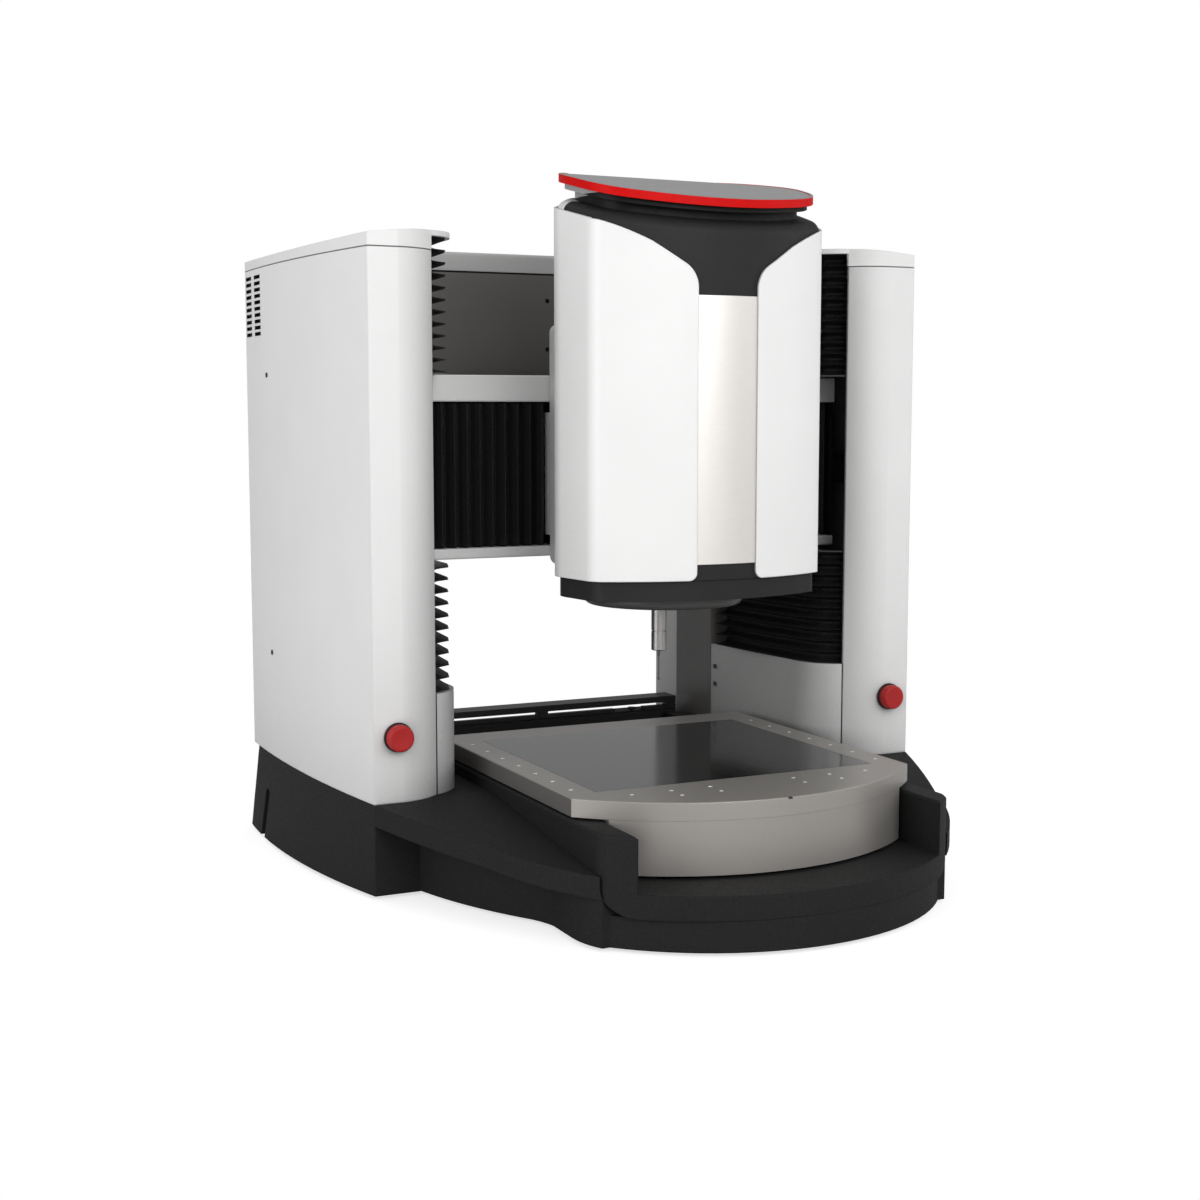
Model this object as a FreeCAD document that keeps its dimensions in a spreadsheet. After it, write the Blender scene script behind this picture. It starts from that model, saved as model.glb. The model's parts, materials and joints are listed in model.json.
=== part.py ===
import FreeCAD, Part
import math
import os
import Sketcher
from FreeCAD import Placement, Rotation, Vector

# Vision measuring machine, in millimetres. +X right, +Y to the back, +Z up.
# The origin is on the bench, under the middle of the machine's outline.

doc = FreeCAD.newDocument("vision_measuring_machine")
sheet = doc.addObject("Spreadsheet::Sheet", "sizes")

DIMENSIONS = {
    # base casting
    "foot_height": 6, "foot_radius": 28, "foot_stud_radius": 8, "foot_socket_depth": 24,
    "foot_side": 400, "foot_back": 440, "foot_front_side": 200, "foot_front": 330,
    "deck_level": 144, "rear_face": 531.5,
    "base_rear_half": 515, "base_front_half": 473, "base_side_radius": 1506, "base_corner_radius": 42,
    "deck_rear_half": 502, "deck_front_half": 472.4, "deck_side_radius": 2870,
    "step_half": 401, "drum_half": 296, "drum_shoulder": 290, "drum_corner": 404.9, "drum_end_x": 276.5,
    "drum_radius": 365.5, "drum_top": 50, "drum_turn": 352.6, "drum_turn_radius": 80,
    "recess_radius": 706, "recess_end_x": 317, "recess_end_y": 238, "recess_blend": 140,
    "lip_radius": 126, "lip_end_y": 414,
    "wing_mid_x": 377.4, "wing_mid_y": 262, "wing_end_x": 280, "wing_end_y": 416.8,
    "wing_outer_radius": 1800, "wing_thickness": 32, "wing_drop": 40,
    "edge_slot_back": 404, "edge_slot_width": 24, "edge_slot_depth": 8, "edge_slot_top": 78,
    "core_wall": 22, "core_front": 14, "core_middle": 190, "core_back": 390,
    # front surround with its channel
    "surround_half": 283, "surround_inner_half": 243.6, "surround_top": 162, "surround_floor": 84,
    "surround_front": 531.5, "surround_radius": 399, "surround_back": 405, "surround_fillet": 40,
    "channel_relief": 2,
    # rear cross rail and guard bar
    "rail_front": 416.5, "rail_back": 461.5, "cross_rail_half": 273, "cross_rail_top": 165,
    "guard_bottom": 170, "guard_top": 188, "spacer_radius": 9, "spacer_pitch": 124,
    # portal
    "portal_front": 315, "portal_back": 446, "portal_opening_half": 290, "portal_half": 440,
    "portal_top": 954, "portal_rib": 24, "portal_opening_top": 640, "portal_opening_radius": 36,
    "portal_panel_thickness": 3, "portal_panel_margin": 3, "panel_hole_x": 35, "panel_hole_high": 908,
    "panel_hole_low": 826, "panel_hole_radius": 4, "top_cover_high": 985,
    "rear_panel_thickness": 4, "rear_panel_margin": 14,
    # column covers, caps and boots
    "cover_wall": 4, "front_edge_x": 364, "front_edge_y": 10, "front_flat_x": 426, "front_flat_y": 40,
    "front_nose_radius": 92, "bay_front_x": 313, "bay_front_y": 60, "bay_back_x": 291, "bay_back_y": 308,
    "bay_mouth_radius": 76, "bay_side_radius": 1900, "cap_seam": 957, "cap_outer_top": 972,
    "cap_inner_top": 986, "cap_ceiling": 978, "cap_gap": 0.6, "boot_top": 298, "boot_seam": 0.6,
    "boot_roof": 4, "screw_radius": 4, "screw_proud": 1.6,
    "vent_slots": 10, "vent_pitch": 10.4, "vent_slot_height": 6, "vent_slot_width": 40,
    "vent_front": 424, "vent_rear": 484, "vent_low": 846, "vent_mesh_depth": 3, "vent_mesh_margin": 6,
    "side_screw_head_y": 390, "side_screw_head_high": 780, "side_screw_head_low": 320,
    "boot_screw_y": 300, "boot_screw_high": 258, "boot_screw_low": 226,
    # bellows
    "pleats_up": 11, "pleats_down": 10, "pleats_side": 14, "pleat_depth": 25, "pleat_wall": 1.6,
    "bellows_inset": 3, "bellows_gap": 0.3, "bellows_frame": 2, "side_bellows_low": 507, "side_bellows_high": 734,
    "side_bellows_front": 124, "side_pleat_depth": 18, "side_bellows_end": 418,
    # emergency stops
    "stop_x": 434.8, "stop_level": 242.8, "stop_bezel_radius": 22, "stop_bezel_proud": 4,
    "stop_bore": 9, "stop_cap_radius": 20, "stop_cap_gap": 5, "stop_cap_depth": 10,
    "stop_stem_radius": 8.5, "stop_block_depth": 44, "stop_block_half": 15, "stop_block_gap": 1.5,
    "stop_stem_reach": 20, "fit_gap": 0.05,
    # vertical guides and drives
    "rail_width": 20, "rail_height": 20, "upright_rail_x": 335, "upright_rail_low": 306,
    "upright_rail_high": 930, "carriage_clear": 0.5, "carriage_width": 52, "carriage_length": 78,
    "upright_screw_x": 396, "upright_screw_y": 294, "screw_shaft_radius": 10,
    "upright_screw_low": 318, "upright_screw_high": 934, "bearing_height": 26, "bearing_half": 20,
    "motor_half": 20, "motor_length": 96, "side_motor_half": 25, "side_motor_length": 60, "nut_radius": 22,
    "nut_inset": 4, "nut_length": 60, "running_gap": 0.3,
    # travelling beam
    "beam_half": 425, "beam_front": 122, "beam_back": 272, "beam_low": 488, "beam_lower_rail_top": 505,
    "beam_upper_rail_low": 736, "beam_high": 778, "web_front": 182, "web_wall": 12,
    "rail_edge_radius": 3, "side_rail_low": 560, "side_rail_high": 682, "side_screw_level": 621,
    "side_screw_y": 160, "beam_cells": 4,
    # head: plan outline about its own centre line
    "head_home": -5, "head_front": 263.5, "head_front_radius": 370, "head_corner_x": 192,
    "head_corner_y": 210, "head_wide_x": 206, "head_wide_y": 104, "head_waist_x": 111,
    "head_waist_y": 60, "head_back": 100, "head_corner_round": 34, "head_wide_round": 60,
    "head_waist_round": 70, "head_cover_wall": 4, "head_skin_gap": 0.3, "head_shell_wall": 4,
    "head_cover_low": 478, "head_low": 448, "head_floor": 6, "strip_half": 49, "strip_low": 501,
    "strip_high": 886, "strip_thickness": 2, "cover_split": 10, "cover_low_round": 12,
    "cover_notch_high": 893, "cover_shoulder_x": 66, "cover_shoulder_z": 929, "cover_mid_x": 115,
    "cover_mid_z": 960, "cover_edge_x": 192, "cover_edge_z": 992, "cover_side_z": 1013,
    "cover_side_y": 117, "cover_back_z": 1035, "shoulder_round": 18, "cover_flank_y": 200,
    "cover_flank_rise": 1.4, "cover_shoulder_round": 41, "cover_edge_round": 500, "head_collar_inset": 8,
    # head lid: a slice between two arcs, seen from the side
    "lid_front_y": 266, "lid_front_z": 1020, "lid_back_y": 74, "lid_back_z": 1086.5, "lid_radius": 1246,
    "lid_rim_height": 12, "lid_rim_wall": 5, "lid_inset": 6, "lid_panel_drop": 0.8, "lid_gap": 0.2,
    "lid_corner_round": 90, "lid_side_round": 90, "lid_seat": 0.1, "lid_tray_height": 9, "lid_tray_inset": 15, "neck_inset": 30, "neck_drop": 36,
    "shoulder_front_y": 296, "shoulder_front_z": 1009.2, "shoulder_back_y": 130, "shoulder_back_z": 1088.25,
    # carriage of the head
    "plate_half": 112, "plate_front": 100, "plate_back": 120, "plate_low": 474, "plate_high": 859,
    "plate_round": 14, "boss_low": 522, "boss_high": 719,
    # optics
    "lens_x": 40, "lens_y": 62, "tube_radius": 40, "tube_low": 452, "tube_high": 850, "tube_wall": 6,
    "camera_half": 29, "camera_height": 74, "mount_low": 580, "mount_high": 760, "mount_half": 62,
    "disc_x": -15, "disc_y": 90, "disc_radius": 122, "disc_low": 429, "disc_round": 9,
    "lens_radius": 30, "lens_recess": 4, "lens_thickness": 12, "ring_radius": 48, "ring_depth": 5,
    "barrel_radius": 36, "barrel_low": 432, "floor_bore_radius": 105,
    # touch probe
    "probe_x": -29, "probe_y": 102.5, "probe_radius": 11.5, "probe_collar_radius": 17,
    "probe_collar_height": 8, "probe_body_low": 386, "probe_module_low": 357, "probe_groove": 2,
    "probe_groove_depth": 1.2, "stylus_pivot": 360, "stylus_socket_radius": 6, "stylus_pin_radius": 1.2,
    "stylus_radius": 1, "stylus_hub_radius": 2, "stylus_hub_height": 8, "stylus_tip": 310.5,
    "ruby_radius": 2, "stylus_clear": 0.6, "probe_recess": 6, "probe_mouth_radius": 8,
    # stage
    "stage_half": 280, "stage_back": 201.5, "stage_corner": 315.5, "stage_front": 437,
    "stage_radius": 383, "stage_low": 165, "stage_high": 191, "glass_half": 231, "glass_front": 291.5,
    "glass_back": 133.5, "glass_thickness": 12, "glass_gap": 0.5, "glass_ledge": 10,
    "apron_half": 240, "apron_low": 88, "apron_wall": 5, "apron_inset": 0.2, "apron_return": 60,
    "insert_radius": 2.4, "insert_depth": 8, "insert_pitch": 62.5, "insert_offset": 6.5, "insert_row_near": 330,
    "insert_row_far": 362, "insert_side_x": 257, "insert_side_y": 264, "insert_sunk": 0.4, "stage_edge": 1.2,
    "saddle_half": 230, "saddle_front": 288, "saddle_back": 190, "saddle_low": 118, "saddle_rib": 22,
    "stage_rail_x": 150, "stage_rail_front": 388, "stage_rail_back": 390, "stage_carriage_y": 137,
    "stage_screw_level": 70, "stage_nut_radius": 16, "stage_nut_reach": 60, "stage_shaft_radius": 8,
    "stage_screw_front": 386, "stage_screw_back": 330, "stage_motor_length": 60, "stage_motor_half": 14,
    "groove_low": 56, "groove_half": 30, "groove_front": 390, "groove_back": 400,
    # mains inlet at the back
    "inlet_x": 380, "inlet_level": 80, "inlet_half_width": 24, "inlet_half_height": 16,
    "inlet_depth": 22, "inlet_flange": 5, "inlet_flange_depth": 2, "inlet_cavity_wall": 4,
}


class Size:
    """A length together with the spreadsheet expression that gives it."""

    def __init__(self, value, text):
        self.value = value
        self.text = text

    def __add__(self, other):
        other = size(other)
        return Size(self.value + other.value, f"({self.text} + {other.text})")

    def __sub__(self, other):
        other = size(other)
        return Size(self.value - other.value, f"({self.text} - {other.text})")

    def __mul__(self, other):
        other = size(other)
        return Size(self.value * other.value, f"({self.text} * {other.text})")

    def __truediv__(self, other):
        other = size(other)
        return Size(self.value / other.value, f"({self.text} / {other.text})")

    def __neg__(self):
        return Size(-self.value, f"(0 - {self.text})")

    __radd__ = __add__
    __rmul__ = __mul__

    def __rsub__(self, other):
        return size(other) - self


class Sheet:
    """Gives each spreadsheet alias as a Size: S.foot_height and so on."""

    def __getattr__(self, alias):
        return Size(float(DIMENSIONS[alias]), f"sizes.{alias}")


def size(value):
    return value if isinstance(value, Size) else Size(float(value), f"({float(value)})")


def fill_sheet():
    for row, (alias, value) in enumerate(DIMENSIONS.items(), start=1):
        sheet.set(f"A{row}", alias)
        sheet.set(f"B{row}", str(value))
        sheet.setAlias(f"B{row}", alias)
    doc.recompute()


S = Sheet()
fill_sheet()
nodes = {}
SIDES = (("left", -1), ("right", 1))


def bind(target, name, value):
    """Sets a property and ties it to the spreadsheet."""
    value = size(value)
    setattr(target, name, value.value)
    if "sizes." in value.text:
        target.setExpression(name, value.text)


def keep(label, target):
    """Names a finished sub-part: its label is its node and its file."""
    target.Label = label
    nodes[label] = target
    return target


# Sketches: outlines whose corners are tied to the spreadsheet

PLANES = {
    "XY": Rotation(),
    "XZ": Rotation(Vector(1, 0, 0), 90),
    "YZ": Rotation(Vector(1, 1, 1), 120),
}
OUTWARD = {"XY": 1, "XZ": -1, "YZ": 1}


def pin_point(sketch, edge, end, along, value):
    """Holds one coordinate of an edge's end at a size from the origin."""
    kind = "DistanceX" if along == "x" else "DistanceY"
    if abs(value.value) < 1e-9:
        sketch.addConstraint(Sketcher.Constraint("PointOnObject", edge, end, -2 if along == "x" else -1))
        return
    if value.value > 0:
        index = sketch.addConstraint(Sketcher.Constraint(kind, -1, 1, edge, end, value.value))
    else:
        index = sketch.addConstraint(Sketcher.Constraint(kind, edge, end, -1, 1, -value.value))
        value = -value
    if "sizes." in value.text:
        sketch.setExpression(f"Constraints[{index}]", value.text)


def arc_through(start, end, radius, bulge):
    """The short arc between two points; bulge +1 lies left of the way from start to end."""
    chord = end - start
    half = chord.Length / 2
    middle = (start + end) * 0.5
    normal = Vector(-chord.y, chord.x, 0).normalize()
    rise = math.sqrt(max(radius ** 2 - half ** 2, 0))
    centre = middle - normal * rise * bulge
    first = math.atan2(start.y - centre.y, start.x - centre.x)
    last = math.atan2(end.y - centre.y, end.x - centre.x)
    if bulge > 0:
        first, last = last, first
    circle = Part.Circle(centre, Vector(0, 0, 1), radius)
    return Part.ArcOfCircle(circle, first, last), bulge > 0


def draw_loop(sketch, corners):
    """Draws a closed outline. A corner is (x, y), or (x, y, radius, bulge) for an arc to the next."""
    points = [(size(c[0]), size(c[1])) for c in corners]
    ends = []
    for index, corner in enumerate(corners):
        here = points[index]
        there = points[(index + 1) % len(points)]
        start = Vector(here[0].value, here[1].value, 0)
        end = Vector(there[0].value, there[1].value, 0)
        if len(corner) == 2:
            edge = sketch.addGeometry(Part.LineSegment(start, end), False)
            ends.append((edge, 1, 2))
            continue
        radius = size(corner[2])
        arc, swapped = arc_through(start, end, radius.value, corner[3])
        edge = sketch.addGeometry(arc, False)
        ends.append((edge, 2, 1) if swapped else (edge, 1, 2))
        held = sketch.addConstraint(Sketcher.Constraint("Radius", edge, radius.value))
        if "sizes." in radius.text:
            sketch.setExpression(f"Constraints[{held}]", radius.text)
    for index, (edge, first, last) in enumerate(ends):
        follower = ends[(index + 1) % len(ends)]
        sketch.addConstraint(Sketcher.Constraint("Coincident", edge, last, follower[0], follower[1]))
        pin_point(sketch, edge, first, "x", points[index][0])
        pin_point(sketch, edge, first, "y", points[index][1])


def draw_circle(sketch, x, y, radius):
    x, y, radius = size(x), size(y), size(radius)
    circle = Part.Circle(Vector(x.value, y.value, 0), Vector(0, 0, 1), radius.value)
    edge = sketch.addGeometry(circle, False)
    held = sketch.addConstraint(Sketcher.Constraint("Radius", edge, radius.value))
    if "sizes." in radius.text:
        sketch.setExpression(f"Constraints[{held}]", radius.text)
    pin_point(sketch, edge, 3, "x", x)
    pin_point(sketch, edge, 3, "y", y)


def draw(sketch, loops):
    for loop in loops:
        if loop[0] == "circle":
            draw_circle(sketch, *loop[1:])
        else:
            draw_loop(sketch, loop)


def rectangle(x_low, y_low, x_high, y_high):
    return [(x_low, y_low), (x_high, y_low), (x_high, y_high), (x_low, y_high)]


def mirror_pair(x_low, y_low, x_high, y_high):
    """Two rectangles, one each side of the vertical axis."""
    return [rectangle(x_low, y_low, x_high, y_high), rectangle(-x_high, y_low, -x_low, y_high)]


# Part workbench: free sketches, extrusions, lofts and booleans

def free_sketch(name, plane, loops, offset=0):
    sketch = doc.addObject("Sketcher::SketchObject", name)
    draw(sketch, loops)
    axis = {"XY": "z", "XZ": "y", "YZ": "x"}[plane]
    offset = size(offset)
    sketch.Placement = Placement(Vector(*[offset.value if axis == a else 0 for a in "xyz"]), PLANES[plane])
    if "sizes." in offset.text:
        sketch.setExpression(f"Placement.Base.{axis}", offset.text)
    return sketch


def extrude(name, plane, loops, low, high):
    """A prism of the outline from low to high along the plane's own axis."""
    low, high = size(low), size(high)
    sketch = free_sketch(name + "_outline", plane, loops, low)
    prism = doc.addObject("Part::Extrusion", name)
    prism.Base = sketch
    prism.DirMode = "Custom"
    prism.Dir = {"XY": Vector(0, 0, 1), "XZ": Vector(0, 1, 0), "YZ": Vector(1, 0, 0)}[plane]
    prism.Solid = True
    bind(prism, "LengthFwd", high - low)
    return prism


def cut(name, base, tool):
    made = doc.addObject("Part::Cut", name)
    made.Base, made.Tool = base, tool
    return made


def fuse(name, *shapes):
    made = doc.addObject("Part::MultiFuse", name)
    made.Shapes = list(shapes)
    made.Refine = True
    return made


def common(name, first, second):
    made = doc.addObject("Part::MultiCommon", name)
    made.Shapes = [first, second]
    return made


def round_edges(name, base, radius, test):
    """Rounds the edges of a shape that pass a test."""
    doc.recompute()
    made = doc.addObject("Part::Fillet", name)
    made.Base = base
    picked = [i for i, edge in enumerate(base.Shape.Edges, start=1) if test(edge)]
    made.Edges = [(i, radius.value, radius.value) for i in picked]
    return made


def upright(edge):
    first, last = edge.Vertexes[0].Point, edge.Vertexes[-1].Point
    return edge.Curve.TypeId == "Part::GeomLine" and abs((last - first).normalize().z) > 0.999


def block(name, low, high):
    """A box between two corners."""
    made = doc.addObject("Part::Box", name)
    low = [size(v) for v in low]
    high = [size(v) for v in high]
    for prop, a, b in zip(("Length", "Width", "Height"), low, high):
        bind(made, prop, b - a)
    made.Placement = Placement(Vector(*[v.value for v in low]), Rotation())
    for axis, value in zip("xyz", low):
        if "sizes." in value.text:
            made.setExpression(f"Placement.Base.{axis}", value.text)
    return made


# PartDesign: one body for a piece that is made from pads, pockets and turned forms

class Piece:
    """A body with a sketch for each of its features."""

    def __init__(self, label):
        self.body = doc.addObject("PartDesign::Body", label)
        self.body.Label = label
        self.count = 0
        nodes[label] = self.body

    def plane(self, role):
        return next(f for f in self.body.Origin.OriginFeatures if f.Role == role)

    def sketch(self, plane, loops, offset=0):
        self.count += 1
        made = self.body.newObject("Sketcher::SketchObject", f"{self.body.Name}_sketch{self.count}")
        made.AttachmentSupport = [(self.plane(plane + "_Plane"), "")]
        made.MapMode = "FlatFace"
        offset = size(offset)
        made.AttachmentOffset = Placement(Vector(0, 0, offset.value), Rotation())
        if "sizes." in offset.text:
            made.setExpression("AttachmentOffset.Base.z", offset.text)
        draw(made, loops)
        return made

    def feature(self, kind, sketch, length):
        made = self.body.newObject("PartDesign::" + kind, f"{self.body.Name}_{kind}{self.count}")
        made.Profile = sketch
        bind(made, "Length", length)
        sketch.Visibility = False
        return made

    def pad(self, plane, loops, low, high):
        start = low if OUTWARD[plane] > 0 else -size(high)
        self.feature("Pad", self.sketch(plane, loops, start), size(high) - size(low))
        return self

    def pocket(self, plane, loops, low, high):
        start = high if OUTWARD[plane] > 0 else -size(low)
        self.feature("Pocket", self.sketch(plane, loops, start), size(high) - size(low))
        return self

    def turn(self, profile):
        """A revolution about the vertical axis of a profile drawn in the XZ plane."""
        sketch = self.sketch("XZ", [profile])
        made = self.body.newObject("PartDesign::Revolution", f"{self.body.Name}_turned{self.count}")
        made.Profile = sketch
        made.ReferenceAxis = (sketch, ["V_Axis"])
        made.Angle = 360
        return self

    def dress(self, kind, prop, radius, test):
        doc.recompute()
        tip = self.body.Tip
        edges = [f"Edge{i}" for i, edge in enumerate(tip.Shape.Edges, start=1) if test(edge)]
        made = self.body.newObject("PartDesign::" + kind, f"{self.body.Name}_{kind}{self.count}")
        made.Base = (tip, edges)
        bind(made, prop, radius)
        self.count += 1
        return self

    def fillet(self, radius, test):
        return self.dress("Fillet", "Radius", radius, test)

    def chamfer(self, width, test):
        return self.dress("Chamfer", "Size", width, test)

    def place(self, x, y, z, turn=None):
        self.body.Placement = Placement(Vector(0, 0, 0), turn or Rotation())
        place = self.body.Placement
        place.Base = Vector(size(x).value, size(y).value, size(z).value)
        self.body.Placement = place
        for axis, value in zip("xyz", (size(x), size(y), size(z))):
            if "sizes." in value.text:
                self.body.setExpression(f"Placement.Base.{axis}", value.text)
        return self


def ring(radius, bore):
    return [("circle", 0, 0, radius), ("circle", 0, 0, bore)]


# Outlines that several pieces share

def head_outline():
    """The head's plan: bowed front, flared sides, narrow back."""
    return [
        (-S.head_corner_x, -S.head_corner_y, S.head_front_radius, -1),
        (S.head_corner_x, -S.head_corner_y),
        (S.head_wide_x, -S.head_wide_y),
        (S.head_waist_x, S.head_waist_y),
        (S.head_waist_x, S.head_back),
        (-S.head_waist_x, S.head_back),
        (-S.head_waist_x, S.head_waist_y),
        (-S.head_wide_x, -S.head_wide_y),
    ]


def column_outline(side):
    """A column's plan: bowed outer side, flat front with a rounded nose, hollow bay inside."""
    return [
        (side * S.front_edge_x, -S.front_edge_y, S.front_nose_radius, -side),
        (side * S.front_flat_x, -S.front_flat_y),
        (side * S.deck_front_half, -S.front_flat_y, S.deck_side_radius, -side),
        (side * S.deck_rear_half, S.rear_face),
        (side * S.bay_back_x, S.rear_face),
        (side * S.bay_back_x, S.bay_back_y, S.bay_side_radius, side),
        (side * S.bay_front_x, S.bay_front_y, S.bay_mouth_radius, -side),
    ]


def inset_prism(name, outline, inset, low, high, join="Arc"):
    """A prism of an outline that is pulled in evenly by an inset."""
    low, high, inset = size(low), size(high), size(inset)
    source = free_sketch(name + "_outline", "XY", [outline], low)
    if inset.value:
        shrunk = doc.addObject("Part::Offset2D", name + "_inset")
        shrunk.Source = source
        bind(shrunk, "Value", -inset)
        shrunk.Join = join
        source = shrunk
    prism = doc.addObject("Part::Extrusion", name)
    prism.Base = source
    prism.DirMode = "Custom"
    prism.Dir = Vector(0, 0, 1)
    prism.Solid = True
    bind(prism, "LengthFwd", high - low)
    return prism


def head_prism(name, inset, low, high, front_round=None, side_round=None):
    """The head's plan as a prism with its upright corners rounded."""
    inset = size(inset)
    front_round = front_round or S.head_corner_round
    side_round = side_round or S.head_wide_round
    prism = inset_prism(name + "_sharp", head_outline(), inset, low, high, "Intersection")
    doc.recompute()
    radii = []
    for index, edge in enumerate(prism.Shape.Edges, start=1):
        if not upright(edge):
            continue
        y = edge.Vertexes[0].Point.y
        if y < -(S.head_corner_y.value + S.head_wide_y.value) / 2:
            radius = front_round.value - inset.value
        elif y < 0:
            radius = side_round.value - inset.value
        elif y < S.head_back.value - inset.value - 1:
            straight = S.head_back.value - S.head_waist_y.value - inset.value * 0.73
            radius = min(S.head_waist_round.value + inset.value, straight * 3.3)
        else:
            radius = 0
        if radius > 0:
            radii.append((index, radius, radius))
    made = doc.addObject("Part::Fillet", name)
    made.Base = prism
    made.Edges = radii
    return made


def lid_slab(name, top_drop, bottom_drop):
    """A slice across the whole head between two of the lid's arcs, which lie below its top face."""
    top_drop, bottom_drop = size(top_drop), size(bottom_drop)
    front, back = -S.lid_front_y, S.lid_back_y
    profile = [
        (front, S.lid_front_z - bottom_drop, S.lid_radius, 1),
        (back, S.lid_back_z - bottom_drop),
        (back, S.lid_back_z - top_drop, S.lid_radius, -1),
        (front, S.lid_front_z - top_drop),
    ]
    return extrude(name, "YZ", [profile], -S.head_wide_x * 1.2, S.head_wide_x * 1.2)


def below_lid(name, drop):
    """All that lies below one of the lid's arcs, down to the head's underside."""
    front, back = -S.shoulder_front_y, S.shoulder_back_y
    profile = [
        (front, S.head_low - S.head_floor),
        (back, S.head_low - S.head_floor),
        (back, S.shoulder_back_z - drop, S.lid_radius, -1),
        (front, S.shoulder_front_z - drop),
    ]
    return extrude(name, "YZ", [profile], -S.head_wide_x * 1.2, S.head_wide_x * 1.2)


def at_head(target):
    """Moves a finished piece of the head from its own centre line to its resting place."""
    place = target.Placement
    place.Base = place.Base + Vector(S.head_home.value, 0, 0)
    target.Placement = place
    target.setExpression("Placement.Base.x", S.head_home.text)
    return target


# Base casting: rear block with flared sides, stepped front drum, sloping wings

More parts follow.
